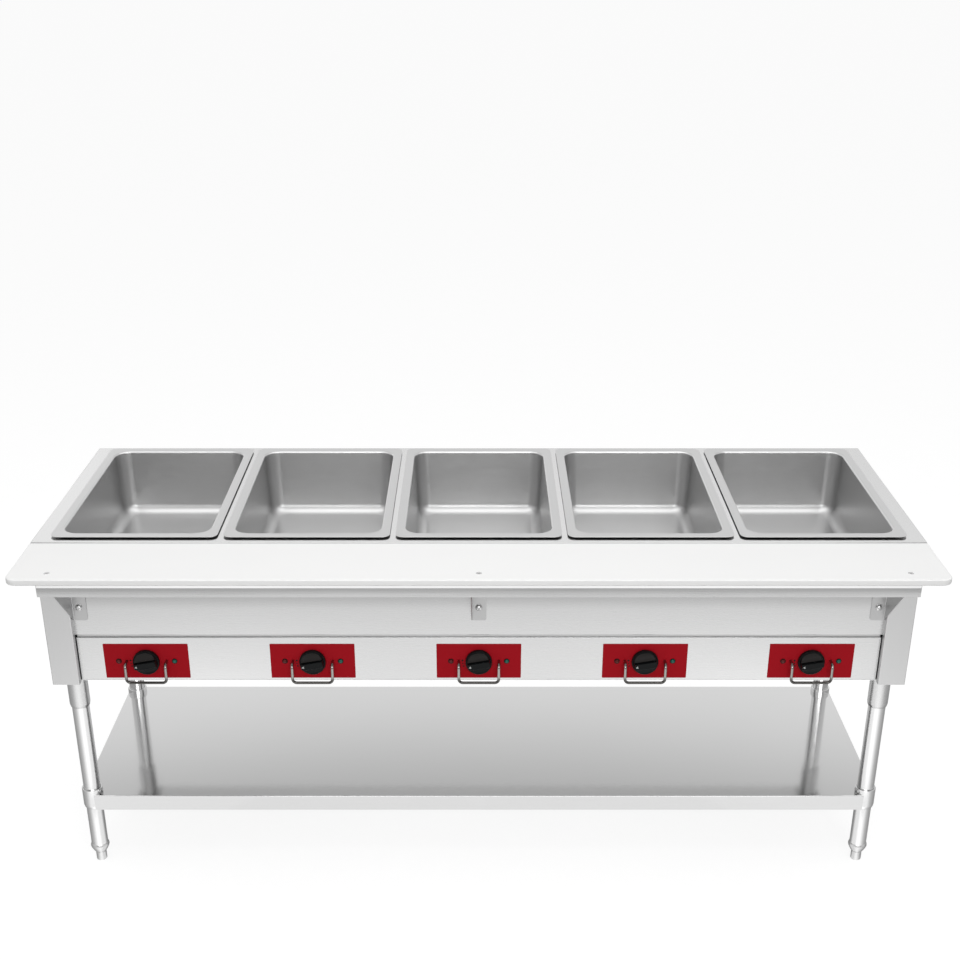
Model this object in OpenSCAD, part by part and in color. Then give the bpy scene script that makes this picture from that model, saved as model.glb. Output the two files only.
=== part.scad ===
// Floor-standing electric bain-marie with five wells, a cutting board, legs and an undershelf.
// Millimetres, +Z up. The front faces -Y and the origin is on the floor under the middle.

/* [Wells] */
// Clear width of a pan at its mouth
pan_w = 306; // [260:1:340]
// Clear length of a pan at its mouth, front to back
pan_l = 508; // [440:1:560]
// Depth of a pan below the top of its rim
pan_depth = 152; // [100:1:170]
// Wall of a pan
pan_t = 1; // [0.8:0.1:1.5]
// Width of the rim along a pan's sides
pan_side_rim = 20; // [16:1:26]
// Width of the rim along a pan's front and rear
pan_end_rim = 23; // [16:1:28]
// Height of a pan's rim above the steel top
pan_rim_h = 4; // [3:0.5:6]
// Radius of a pan's upright corners
pan_corner_r = 33; // [32:1:44]
// Radius between the walls and the floor of a pan
pan_floor_r = 24; // [14:1:24]
// How far a pan's walls lean in between mouth and floor
pan_lean = 8; // [2:0.5:8]
// Gap between the rims of neighbouring pans
pan_gap = 11.5; // [6:0.5:16]
// Room between a pan's wall and the liner round it
well_clear = 5; // [3:0.5:7]
// Sheet of the well liners
liner_t = 1; // [0.8:0.1:1.5]
// Radius of a liner's upright corners
liner_corner_r = 24; // [16:1:30]
// Radius between the walls and the floor of a liner
liner_floor_r = 6; // [3:1:10]
// Width of the flange that hangs a liner under the top
liner_flange = 10; // [8:1:12]

/* [Heating] */
// Diameter of the heating tube
element_d = 8; // [6:0.5:10]
// Distance between neighbouring runs of the heating tube
element_pitch = 60; // [50:1:66]
// Distance from a pan's ends to the bends of the heating tube
element_end = 64; // [58:1:80]
// Room between the pan floor and the heating tube
element_gap = 14; // [8:1:20]
// Room between the heating tube and the liner floor
element_clear = 12; // [9:1:16]
// Thickness of the bars that carry the heating tube
support_t = 4; // [3:0.5:6]
// Diameter of the nuts that clamp the tube's ends in the liner
tail_nut_d = 16; // [14:0.5:20]
// Thickness of the insulation under the wells
pad_t = 36; // [26:1:44]

/* [Top and board] */
// Steel between the board and the pan rims
front_strip = 19; // [12:1:30]
// Steel behind the pan rims
rear_strip = 16; // [10:1:30]
// Steel beside the outer pan rims
side_strip = 34; // [30:1:50]
// Sheet of the steel top
top_t = 1.5; // [1:0.1:2]
// Height of the turned-down edges of the top
skirt_h = 25; // [18:1:40]
// Depth of the ledge that carries the rear edge of the board
ledge_d = 22; // [14:1:30]
// Depth of the cutting board, front to back
board_d = 187; // [170:1:210]
// Thickness of the cutting board
board_t = 13; // [11:0.5:20]
// Radius of the board's front corners
board_corner_r = 14; // [4:1:16]

/* [Board support] */
// Distance of the rail behind the front edge of the board
rail_setback = 22; // [16:1:30]
// Height of the rail's front lip
rail_lip = 34; // [26:1:44]
// Depth of the rail's flange under the board
rail_flange = 45; // [36:1:60]
// How far the rail runs past the outer brackets
rail_overhang = 6; // [2:1:12]
// Distance of the bracket tabs' lower edge below the top
bracket_drop = 186; // [170:1:200]
// Width of the bracket tabs and flanges
bracket_w = 32; // [26:1:40]
// Sheet of the brackets
bracket_t = 2; // [1.5:0.1:3]
// Distance of the board screws behind the rail's front face
board_screw_inset = 11; // [9:1:16]
// Diameter of the board screws
board_screw_d = 6; // [5:0.5:8]
// Diameter of the bracket bolts
bracket_bolt_d = 8; // [6:0.5:10]
// Height of the visible bracket bolt above the tab's lower edge
bracket_bolt_up = 30; // [22:1:40]

/* [Body] */
// Sheet of the body panels
sheet_t = 1.2; // [1:0.1:1.6]
// Width of the front flanges of the end panels
end_flange = 58; // [50:1:70]
// Depth of the apron and the control panel behind those flanges
recess = 16; // [10:1:22]
// Height of the control panel
control_h = 105; // [98:1:130]
// Gap between the apron and the control panel
seam = 3; // [2:0.5:5]
// Gap at each end of the control panel
control_gap = 3; // [3:0.5:8]
// Depth of the returns along the edges of the front panels
panel_return = 13; // [10:1:18]

/* [Controls] */
// Width of a switch plate
plate_w = 182; // [165:1:200]
// Height of a switch plate
plate_h = 82; // [74:1:90]
// Thickness of a switch plate
plate_t = 1; // [0.8:0.1:1.5]
// Distance of the switch plates above the lower edge of the control panel
plate_up = 5; // [3:0.5:8]
// Diameter of a knob
knob_d = 57; // [48:1:62]
// Height of a knob
knob_h = 24; // [18:1:28]
// Height of a knob's round skirt
knob_skirt = 9; // [6:0.5:12]
// Width of a knob's grip
knob_grip = 21; // [16:1:26]
// Angle of a knob's pointer at rest, anticlockwise from the right
knob_rest = 196; // [180:1:230]
// Gap between a knob and its plate
knob_gap = 1.5; // [1:0.1:3]
// Diameter of a switch shaft
shaft_d = 6; // [5:0.5:8]
// Depth of a shaft's end in its knob
shaft_grip = 14; // [10:1:16]
// Depth of a heat switch behind the control panel
switch_depth = 40; // [34:1:46]
// Width and height of a heat switch
switch_size = 44; // [38:1:50]
// Distance of the lamps to each side of the knob
lamp_x = 60; // [56:1:66]
// Diameter of a lamp's rim
lamp_d = 12; // [9:0.5:14]
// Length of a lamp's body behind the panel
lamp_body = 28; // [20:1:36]
// Width of a knob guard between the middles of its legs
guard_w = 86; // [80:1:92]
// Diameter of the guard wire
guard_wire = 6; // [4:0.5:7]
// Drop of a guard from its holes to its crossbar
guard_drop = 42.5; // [40:0.5:46]
// Distance of the guard wire in front of the switch plate
guard_stand = 20; // [12:1:22]

/* [Legs and shelf] */
// Height of the steel top above the floor
top_h = 842; // [760:1:900]
// Diameter of the leg tubes
leg_d = 38.1; // [34:0.1:41]
// Wall of the leg tubes
leg_t = 1.5; // [1.2:0.1:2]
// Distance of the leg axes from the ends of the table
leg_inset = 32; // [30:1:40]
// Distance of the front leg axes behind the board
leg_front = 75; // [66:1:110]
// Distance of the rear leg axes from the back of the top
leg_rear = 39; // [34:1:80]
// Diameter of the leg sockets
socket_d = 45; // [44:0.5:52]
// Length of the leg sockets
socket_length = 90; // [60:1:120]
// Thickness of the plate on top of a socket
socket_plate = 3; // [2:0.5:5]
// Height of the shelf above the floor
shelf_h = 190; // [160:1:260]
// Height of the shelf's edges
shelf_lip = 38; // [30:1:50]
// How far the shelf's edges lie outside the leg axes
shelf_over = 22; // [21:0.5:22.5]
// Diameter of the shelf sleeves
sleeve_d = 46.5; // [45.5:0.5:50]
// Rise of the sleeves above the shelf
sleeve_rise = 12; // [8:1:20]
// Diameter of the set screws
set_screw_d = 8; // [6:0.5:9]
// Diameter of the feet
foot_d = 24; // [20:1:28]
// Height of the feet below the collars
foot_h = 26; // [20:1:34]
// Height of the collars
collar_h = 24; // [20:1:30]
// Largest diameter of the collars
collar_d = 42.5; // [42:0.5:48]
// Diameter of the foot screws
foot_screw_d = 12; // [10:0.5:16]
// How far the feet screw out
foot_travel = 25; // [15:1:30]

/* [Hidden] */
$fn = 64;

// Clearances
seat_gap = 0.2;
fit_gap = 0.3;
skirt_gap = 0.5;
shaft_clear = 0.05;
hole_clear = 0.25;
sleeve_clear = 0.4;
cut = 1;
skim = 0.01;

// Colours
steel = [0.83, 0.84, 0.84];
dark_steel = [0.62, 0.63, 0.64];
galvanised = [0.7, 0.72, 0.73];
board_white = [0.96, 0.96, 0.95];
plate_red = [0.66, 0.07, 0.1];
knob_black = [0.08, 0.08, 0.09];
lamp_red = [0.35, 0.05, 0.05];
lamp_green = [0.05, 0.45, 0.3];
fibre_yellow = [0.85, 0.78, 0.5];
block_cream = [0.9, 0.88, 0.8];
cable_black = [0.12, 0.12, 0.13];

// Plan of the table
WELLS = 5;
pitch = pan_w + 2 * pan_side_rim + pan_gap;
table_w = WELLS * pitch - pan_gap + 2 * side_strip;
top_d = front_strip + 2 * pan_end_rim + pan_l + rear_strip;
table_d = board_d + top_d;
y_front = -table_d / 2;
y_joint = y_front + board_d;
y_back = table_d / 2;
y_well = y_joint + front_strip + pan_end_rim + pan_l / 2;
well_x = [for (i = [0 : WELLS - 1]) (i - (WELLS - 1) / 2) * pitch];

// Heights, from the top down
z_top = top_h;
z_rim = z_top + seat_gap + pan_rim_h;
z_pan_floor = z_rim - pan_depth;
z_element = z_pan_floor - pan_t - element_gap - element_d / 2;
z_liner = z_element - element_d / 2 - element_clear;
z_deck = z_liner - liner_t - pad_t;
z_apron = z_deck - 2 * sheet_t;
z_control_top = z_apron - seam;
z_control = z_control_top - control_h;
z_bottom = z_control - sheet_t;
z_body = z_bottom - socket_plate;
z_knob = z_control + plate_up + plate_h / 2;

// Body panels
body_half = table_w / 2 - top_t - skirt_gap;
inside_half = body_half - sheet_t;
flange_half = body_half - end_flange;
y_flange = y_joint + top_t + skirt_gap;
y_apron = y_flange + recess;
y_inside = y_apron + sheet_t;
y_rear = y_back - top_t - skirt_gap;
apron_lap = 6;
rear_flange = 25;
y_plate = y_apron - plate_t;

// Wells
rim_corner_r = pan_corner_r / 2;
liner_w = pan_w + 2 * (pan_t + well_clear);
liner_l = pan_l + 2 * (pan_t + well_clear);
run_l = pan_l - 2 * element_end - element_pitch;
y_run_front = y_well - run_l / 2;
tail_bend = 2 * element_d;
y_tail = y_run_front - tail_bend;
tail_below = 14;
z_tail = z_deck - sheet_t - tail_below;
tail_x = 1.5 * element_pitch;
tail_nut_t = 5;
tail_room = 1;
tail_hole = element_d / 2 + tail_room;

// Board support
z_board = z_top - board_t;
z_carry = z_board - top_t;
y_rail = y_front + rail_setback;
web_half = flange_half - skirt_gap;
rail_half = web_half + rail_overhang;
y_tab = y_apron - bracket_t;
z_tab = z_top - bracket_drop;
y_screw = y_rail + board_screw_inset;
bracket_x = [-web_half, -bracket_w / 2, web_half - bracket_w];
screw_head_d = 2 * board_screw_d;
screw_head_h = board_screw_d / 2;
nut_ratio = 1.8;
nut_t = 5;
bolt_head_t = 5;
bolt_head_r = 0.9 * bracket_bolt_d;
bolt_head_round = 1.3 * bolt_head_r;
bolt_z = [z_tab + bracket_bolt_up, z_carry - bracket_t - bracket_bolt_up];

// Switches
switch_bush_t = 2;
switch_bush_r = shaft_d / 2 + switch_bush_t;
switch_bore = 20;
shaft_back = y_inside + switch_bore - fit_gap;
y_knob = y_plate - knob_gap;
knob_step = 3.5;
knob_wall_r = knob_d / 2 - knob_step;
knob_edge = 2;
lamp_lip = 1.2;
lamp_r = lamp_d / 2 - lamp_lip;
lamp_rim_t = 1.5;
lens_h = 3;
lens_round = 1.4 * lamp_r;
terminal_w = 7;
terminal_t = 1;
guard_bend = 9;
guard_tail = 12;

// Legs
leg_x = table_w / 2 - leg_inset;
y_leg_front = y_joint + leg_front;
y_leg_rear = y_back - leg_rear;
leg_y = [y_leg_front, y_leg_rear];
leg_bottom = foot_h + collar_h;
socket_plate_w = 2 * (inside_half - leg_x - fit_gap);
socket_plate_l = 2 * (y_rear - 2 * sheet_t - y_leg_rear - fit_gap);
socket_taper = 8;
sleeve_taper = 8;
sleeve_r = sleeve_d / 2;
set_screw_turn = [-30, 80];
set_screw_head = 5;
set_screw_shank = set_screw_d / 2;
z_set_screw = shelf_h + sleeve_rise / 2;
plug_l = 30;
screw_short = 1;
foot_screw_top = leg_bottom + plug_l - screw_short;
collar_foot = 1;
collar_widest = foot_h + 0.7 * collar_h;
foot_chamfer = 4;
foot_gap = 0.5;

// Wiring
loom_d = 14;
lead_d = 4;
loom_half = well_x[WELLS - 1] + tail_x;
z_loom = z_control + loom_d / 2;
lead_bend = 2 * lead_d;
block_w = 90;
block_d = 36;
block_h = 28;
block_back = 110;
block_y = y_back - block_back;
clamp_h = 3;
gland_back = 160;
gland_y = y_back - gland_back;
gland_side = 40;
gland_x = well_x[0] - gland_side;
gland_r = 11;
gland_neck = gland_r - 2;
gland_flange = gland_r + 2;
gland_nut = gland_r + 3;
gland_end = 2;
gland_bore = 6;
gland_l = 26;

// Rectangle with round corners, centred on the origin
module rounded_rect(w, l, r) {
  square([w - 2 * r, l], center = true);
  square([w, l - 2 * r], center = true);
  for (x = [-1, 1], y = [-1, 1])
    translate([x * (w / 2 - r), y * (l / 2 - r)]) circle(r);
}

// Box from two opposite corners
module box(low, high) {
  translate(low) cube(high - low);
}

// Cylinder along +Y from a point
module rod_y(at, r, l) {
  translate(at) rotate([-90, 0, 0]) cylinder(r = r, h = l);
}

// Copies a shape to each leg
module at_legs(z = 0) {
  for (x = [-1, 1], y = leg_y) translate([x * leg_x, y, z]) children();
}

// Copies a shape to each well's middle
module at_wells() {
  for (x = well_x) translate([x, 0, 0]) children();
}

// Section of a tray's wall and floor edge. The axis of the tray's corner is at x = 0, the mouth's
// inner face at x = r, and the mouth at y = 0.
module tray_section(r, depth, t, floor_r, lean) {
  a = atan2(lean, depth);
  c = [r + (floor_r - depth) * tan(a) - floor_r / cos(a), floor_r - depth];
  foot = c + floor_r * [cos(a), -sin(a)];
  side = t * [cos(a), -sin(a)];
  reach = 4 * floor_r;
  polygon([[r, 0], foot, foot + side, [r + t / cos(a), 0]]);
  translate([0, -depth - t]) square([c[0], t]);
  translate(c) intersection() {
    difference() {
      circle(floor_r + t);
      circle(floor_r);
    }
    polygon([[0, 0], [0, -reach], [reach * cos(a), -reach], reach * [cos(a), -sin(a)]]);
  }
}

// Open tray with its mouth at z = 0: walls, rounded corners and floor
module tray(w, l, r, depth, t, floor_r, lean) {
  translate([0, 0, -depth - t / 2]) cube([w - 2 * r, l - 2 * r, t], center = true);
  for (k = [0 : 3]) {
    along = k % 2 == 0 ? l : w;
    across = k % 2 == 0 ? w : l;
    rotate(90 * k) translate([across / 2 - r, 0, 0]) {
      rotate([90, 0, 0]) linear_extrude(along - 2 * r, center = true)
        tray_section(r, depth, t, floor_r, lean);
      translate([0, along / 2 - r, 0]) rotate_extrude(angle = 90)
        tray_section(r, depth, t, floor_r, lean);
    }
  }
}

// Flat ring between two rounded rectangles
module rim_ring(w, l, r, width, h) {
  linear_extrude(h) difference() {
    rounded_rect(w, l, r);
    rounded_rect(w - 2 * width[0], l - 2 * width[1], r - min(width));
  }
}

// Quarter bend of a round rod in the XY plane, from +X round to +Y
module bend(r, d, angle = 90) {
  rotate_extrude(angle = angle) translate([r, 0]) circle(d = d);
}

// The steel top, its turned-down edges and the ledge under the board
module top_panel() {
  half = table_w / 2;
  color(steel) difference() {
    union() {
      box([-half, y_joint, z_top - top_t], [half, y_back, z_top]);
      for (x = [-half, half - top_t]) box([x, y_joint, z_top - skirt_h], [x + top_t, y_back, z_top]);
      box([-half, y_back - top_t, z_top - skirt_h], [half, y_back, z_top]);
      box([-half, y_joint, z_carry], [half, y_joint + top_t, z_top]);
      box([-half, y_joint - ledge_d, z_carry], [half, y_joint + top_t, z_board]);
    }
    at_wells() translate([0, y_well, z_top - top_t - cut]) linear_extrude(top_t + 2 * cut)
      rounded_rect(liner_w, liner_l, liner_corner_r);
  }
}

// Plan of the right end panel: side, front flange, its return and the rear flange
module end_panel_plan() {
  translate([inside_half, y_flange]) square([sheet_t, y_rear - y_flange]);
  translate([flange_half, y_flange]) square([end_flange, sheet_t]);
  translate([flange_half, y_flange]) square([sheet_t, recess]);
  translate([body_half - rear_flange, y_rear - 2 * sheet_t]) square([rear_flange, sheet_t]);
}

module right_end_panel() {
  color(steel) translate([0, 0, z_body]) linear_extrude(z_top - top_t - z_body) end_panel_plan();
}

module left_end_panel() {
  mirror([1, 0, 0]) right_end_panel();
}

module rear_panel() {
  color(steel) box([-inside_half, y_rear - sheet_t, z_bottom], [inside_half, y_rear, z_top - top_t]);
}

// The upper front panel, with a return that carries the deck
module front_apron() {
  half = flange_half + apron_lap;
  color(steel) difference() {
    union() {
      box([-half, y_apron, z_apron], [half, y_inside, z_top - top_t]);
      box([-half, y_apron, z_apron], [half, y_inside + panel_return, z_apron + sheet_t]);
    }
    bracket_bolt_holes();
  }
}

module bracket_bolt_holes() {
  for (x = bracket_x, z = bolt_z)
    rod_y([x + bracket_w / 2, y_tab - cut, z], bracket_bolt_d / 2 + hole_clear,
          bracket_t + sheet_t + 2 * cut);
}

// Holes for the switch, the lamps and the guard of each well, through a panel at y
module control_holes(y, t) {
  at_wells() translate([0, y - cut, z_knob]) {
    rod_y([0, 0, 0], switch_bush_r + hole_clear, t + 2 * cut);
    for (x = [-lamp_x, lamp_x]) rod_y([x, 0, 0], lamp_r + hole_clear, t + 2 * cut);
    for (x = [-guard_w / 2, guard_w / 2])
      rod_y([x, 0, 0], guard_wire / 2 + hole_clear, t + 2 * cut);
  }
}

// The lower front panel, with returns along its upper and lower edges
module control_panel() {
  half = flange_half - control_gap;
  color(steel) difference() {
    union() {
      box([-half, y_apron, z_control], [half, y_inside, z_control_top]);
      for (z = [z_control, z_control_top - sheet_t])
        box([-half, y_apron, z], [half, y_inside + panel_return, z + sheet_t]);
    }
    control_holes(y_apron, sheet_t);
  }
}

module bottom_panel() {
  half = inside_half - fit_gap;
  color(steel) difference() {
    box([-half, y_apron, z_bottom], [half, y_rear - 2 * sheet_t, z_control]);
    translate([gland_x, gland_y, z_bottom - cut])
      cylinder(r = gland_neck + hole_clear, h = sheet_t + 2 * cut);
  }
}

// The deck under the insulation, above the switch compartment
module well_deck() {
  half = inside_half - fit_gap;
  color(galvanised) difference() {
    box([-half, y_inside, z_deck - sheet_t], [half, y_rear - 2 * sheet_t, z_deck]);
    tail_holes(z_deck - sheet_t, sheet_t);
  }
}

// Holes for the ends of the heating tubes
module tail_holes(z, h, r = tail_hole) {
  at_wells() for (x = [-tail_x, tail_x])
    translate([x, y_tail, z - cut]) cylinder(r = r, h = h + 2 * cut);
}

// Lining of one well, hung under the top by its flange
module well_liner(i) {
  z_flange = z_top - top_t;
  depth = z_flange - z_liner;
  color(galvanised) difference() {
    translate([well_x[i - 1], y_well, z_flange]) {
      tray(liner_w, liner_l, liner_corner_r, depth, liner_t, liner_floor_r, 0);
      translate([0, 0, -liner_t])
        rim_ring(liner_w + 2 * liner_flange, liner_l + 2 * liner_flange, liner_corner_r + liner_flange,
                 [1, 1] * (liner_flange - liner_t / 2), liner_t);
    }
    tail_holes(z_liner - liner_t, liner_t);
  }
}

// Pads under the liners and strips between them
module well_insulation() {
  outer_w = liner_w + 2 * liner_t;
  strip_w = pitch - outer_w - 2 * fit_gap;
  strip_top = z_top - top_t - liner_t - fit_gap;
  y_near = y_well - liner_l / 2;
  y_far = y_well + liner_l / 2;
  color(fibre_yellow) {
    difference() {
      at_wells() box([-outer_w / 2, y_near, z_deck], [outer_w / 2, y_far, z_deck + pad_t]);
      tail_holes(z_deck, pad_t, tail_nut_d / 2 + tail_room);
    }
    for (i = [0 : WELLS]) {
      x = (i - WELLS / 2) * pitch;
      box([x - strip_w / 2, y_near, z_deck], [x + strip_w / 2, y_far, strip_top]);
    }
  }
}

// One bent heating tube: four runs, three bends and two ends that go down through the floor
module heating_element(i) {
  r = element_pitch / 2;
  color(dark_steel) translate([well_x[i - 1], 0, z_element]) {
    for (k = [-1.5 : 1 : 1.5]) rod_y([k * element_pitch, y_run_front, 0], element_d / 2, run_l);
    for (x = [-1, 1]) translate([x * element_pitch, y_run_front + run_l, 0]) bend(r, element_d, 180);
    translate([0, y_run_front, 0]) rotate(180) bend(r, element_d, 180);
    for (x = [-tail_x, tail_x]) translate([x, y_run_front, -tail_bend]) {
      rotate([90, 0, -90]) bend(tail_bend, element_d);
      translate([0, -tail_bend, z_tail - z_element + tail_bend])
        cylinder(d = element_d, h = z_element - tail_bend - z_tail);
    }
  }
  color(dark_steel) for (x = [-tail_x, tail_x])
    translate([well_x[i - 1] + x, y_tail, z_liner - liner_t]) {
      translate([0, 0, liner_t]) cylinder(d = tail_nut_d, h = tail_nut_t);
      translate([0, 0, -tail_nut_t]) cylinder(d = tail_nut_d, h = tail_nut_t, $fn = 6);
    }
}

// Bars on the liner floors that carry the heating tubes
module element_supports() {
  half = tail_x + 2 * element_d;
  color(galvanised) at_wells() for (y = [-run_l / 3, run_l / 3])
    box([-half, y_well + y - support_t / 2, z_liner],
        [half, y_well + y + support_t / 2, z_liner + element_clear - fit_gap]);
}

// One lift-out pan with its flat rim
module well_pan(i) {
  w = pan_w + 2 * pan_side_rim;
  l = pan_l + 2 * pan_end_rim;
  r = rim_corner_r;
  color(steel) translate([well_x[i - 1], y_well, z_rim]) {
    tray(pan_w, pan_l, pan_corner_r, pan_depth, pan_t, pan_floor_r, pan_lean);
    translate([0, 0, -pan_t]) linear_extrude(pan_t) difference() {
      rounded_rect(w, l, r);
      rounded_rect(pan_w + pan_t, pan_l + pan_t, pan_corner_r + pan_t / 2);
    }
    translate([0, 0, -pan_rim_h]) rim_ring(w, l, r, [pan_t, pan_t], pan_rim_h);
  }
}

module cutting_board() {
  r = board_corner_r;
  half = table_w / 2;
  color(board_white) difference() {
    translate([0, 0, z_board]) linear_extrude(board_t) {
      translate([-half, y_front + r]) square([table_w, board_d - r - seat_gap]);
      translate([r - half, y_front]) square([table_w - 2 * r, r + cut]);
      for (x = [-half + r, half - r]) translate([x, y_front + r]) circle(r);
    }
    board_screw_holes();
  }
}

module board_screw_holes() {
  for (x = bracket_x) translate([x + bracket_w / 2, y_screw, 0]) {
    translate([0, 0, z_carry - bracket_t - cut])
      cylinder(d = board_screw_d + 2 * hole_clear, h = z_top - z_carry + bracket_t + 2 * cut);
    translate([0, 0, z_top - screw_head_h])
      cylinder(d1 = board_screw_d + 2 * hole_clear, d2 = screw_head_d + 2 * hole_clear,
               h = screw_head_h + skim);
  }
}

// Countersunk screws through the board, the rail and the brackets, with their nuts
module board_screws() {
  color(steel) for (x = bracket_x) translate([x + bracket_w / 2, y_screw, 0]) {
    translate([0, 0, z_top - screw_head_h])
      cylinder(d1 = board_screw_d, d2 = screw_head_d, h = screw_head_h);
    translate([0, 0, z_carry - bracket_t - nut_t])
      cylinder(d = board_screw_d, h = z_top - screw_head_h - z_carry + bracket_t + nut_t);
    translate([0, 0, z_carry - bracket_t - nut_t])
      cylinder(d = nut_ratio * board_screw_d, h = nut_t, $fn = 6);
  }
}

// Angle rail under the front of the board
module board_rail() {
  color(steel) difference() {
    union() {
      box([-rail_half, y_rail, z_carry], [rail_half, y_rail + rail_flange, z_board]);
      box([-rail_half, y_rail, z_board - rail_lip], [rail_half, y_rail + top_t, z_board]);
    }
    board_screw_holes();
  }
}

// Gusset bracket: web on its left, with a tab on the apron and a flange under the board
module bracket(x, web_x) {
  z_flange = z_carry - bracket_t;
  y_tip = y_rail + top_t + fit_gap;
  color(steel) difference() {
    union() {
      box([x, y_tab, z_tab], [x + bracket_w, y_apron, z_carry]);
      box([x, y_tip, z_flange], [x + bracket_w, y_apron, z_carry]);
      translate([web_x, 0, 0]) rotate([90, 0, 90]) linear_extrude(bracket_t)
        polygon([[y_apron, z_tab], [y_tab, z_tab], [max(y_tip, y_tab - z_flange + z_tab), z_flange],
                 [y_tip, z_carry], [y_apron, z_carry]]);
    }
    bracket_bolt_holes();
    board_screw_holes();
  }
}

module left_bracket() {
  bracket(bracket_x[0], bracket_x[0]);
}

module centre_bracket() {
  bracket(bracket_x[1], bracket_x[1]);
}

module right_bracket() {
  bracket(bracket_x[2], bracket_x[2] + bracket_w - bracket_t);
}

// Round-headed bolts through the bracket tabs and the apron, with their nuts
module bracket_bolts() {
  bolt_l = bracket_t + sheet_t + nut_t;
  color(steel) for (x = bracket_x, z = bolt_z)
    translate([x + bracket_w / 2, y_tab, z]) rotate([90, 0, 0]) {
      rotate_extrude() intersection() {
        translate([0, bolt_head_t - bolt_head_round]) circle(bolt_head_round);
        square([bolt_head_r, bolt_head_t]);
      }
      translate([0, 0, -bolt_l]) cylinder(d = bracket_bolt_d, h = bolt_l);
      translate([0, 0, -bolt_l]) cylinder(d = nut_ratio * bracket_bolt_d, h = nut_t, $fn = 6);
    }
}

module switch_plates() {
  color(plate_red) difference() {
    at_wells() box([-plate_w / 2, y_plate, z_control + plate_up],
                   [plate_w / 2, y_apron, z_control + plate_up + plate_h]);
    control_holes(y_plate, plate_t);
  }
}

// One knob: round skirt and a bar grip, bored for its shaft
module knob(i) {
  color(knob_black) translate([well_x[i - 1], y_knob, z_knob]) rotate([90, 0, 0]) difference() {
    union() {
      rotate_extrude() {
        square([knob_d / 2 - knob_edge, knob_skirt]);
        square([knob_d / 2, knob_skirt - knob_edge]);
        translate([knob_d / 2 - knob_edge, knob_skirt - knob_edge]) circle(knob_edge);
      }
      rotate(knob_rest) intersection() {
        cylinder(r = knob_wall_r, h = knob_h);
        translate([-knob_d / 2, -knob_grip / 2, 0]) cube([knob_d, knob_grip, knob_h]);
      }
    }
    translate([0, 0, -cut]) cylinder(r = shaft_d / 2 + shaft_clear, h = shaft_grip + fit_gap + cut);
  }
}

// Shaft that runs from a knob into its heat switch
module switch_shaft(i) {
  y_end = y_knob - shaft_grip;
  color(dark_steel) rod_y([well_x[i - 1], y_end, z_knob], shaft_d / 2, shaft_back - y_end);
}

// Switch bodies behind the control panel, each with a threaded bush through the panel
module heat_switches() {
  half = switch_size / 2;
  color(block_cream) at_wells() difference() {
    union() {
      box([-half, y_inside, z_knob - half], [half, y_inside + switch_depth, z_knob + half]);
      rod_y([0, y_plate - fit_gap, z_knob], switch_bush_r, y_inside - y_plate + fit_gap + cut);
      for (x = [-half / 2, half / 2])
        box([x - terminal_w / 2, y_inside + switch_depth - cut, z_knob - terminal_t],
            [x + terminal_w / 2, y_inside + switch_depth + terminal_w, z_knob]);
    }
    rod_y([0, y_plate - cut, z_knob], shaft_d / 2 + shaft_clear, y_inside - y_plate + switch_bore + cut);
  }
}

// Bent wire guards: each leg comes out of the panel, turns down and meets the crossbar
module knob_guards() {
  half = guard_w / 2;
  r = guard_bend;
  y_wire = y_plate - guard_stand;
  color(steel) at_wells() translate([0, 0, z_knob]) {
    for (s = [-1, 1]) {
      rod_y([s * half, y_wire + r, 0], guard_wire / 2, y_inside + guard_tail - y_wire - r);
      translate([s * half, y_wire + r, -r]) rotate([90, 0, -90]) bend(r, guard_wire);
      translate([s * half, y_wire, r - guard_drop]) cylinder(d = guard_wire, h = guard_drop - 2 * r);
      translate([s * (half - r), y_wire, r - guard_drop])
        rotate([90, s > 0 ? 90 : 180, 0]) bend(r, guard_wire);
    }
    translate([r - half, y_wire, -guard_drop])
      rotate([0, 90, 0]) cylinder(d = guard_wire, h = guard_w - 2 * r);
  }
}

// Pilot lamps: a body through the panel, a rim and a domed lens
module lamps(x) {
  at_wells() translate([x, y_plate, z_knob]) rotate([90, 0, 0]) {
    cylinder(d = lamp_d, h = lamp_rim_t);
    rotate_extrude() intersection() {
      translate([0, lamp_rim_t + lens_h - lens_round]) circle(lens_round);
      square([lamp_r, lamp_rim_t + lens_h]);
    }
    translate([0, 0, -plate_t - sheet_t - lamp_body])
      cylinder(r = lamp_r, h = plate_t + sheet_t + lamp_body);
  }
}

module power_lamps() {
  color(lamp_red) lamps(-lamp_x);
}

module heat_lamps() {
  color(lamp_green) lamps(lamp_x);
}

module legs() {
  color(steel) at_legs(leg_bottom) difference() {
    cylinder(d = leg_d, h = z_body - leg_bottom);
    translate([0, 0, -cut]) cylinder(d = leg_d - 2 * leg_t, h = z_body - leg_bottom + 2 * cut);
  }
}

// Sockets for the leg tubes, with the plates that carry the body
module leg_sockets() {
  inner = leg_d / 2 + fit_gap / 2;
  outer = socket_d / 2;
  color(steel) at_legs(z_body) {
    rotate_extrude() polygon([[inner, 0], [outer, 0], [outer, socket_taper - socket_length],
                              [inner + leg_t, -socket_length], [inner, -socket_length]]);
    translate([-socket_plate_w / 2, -socket_plate_l / 2, 0])
      cube([socket_plate_w, socket_plate_l, socket_plate]);
  }
}

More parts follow.
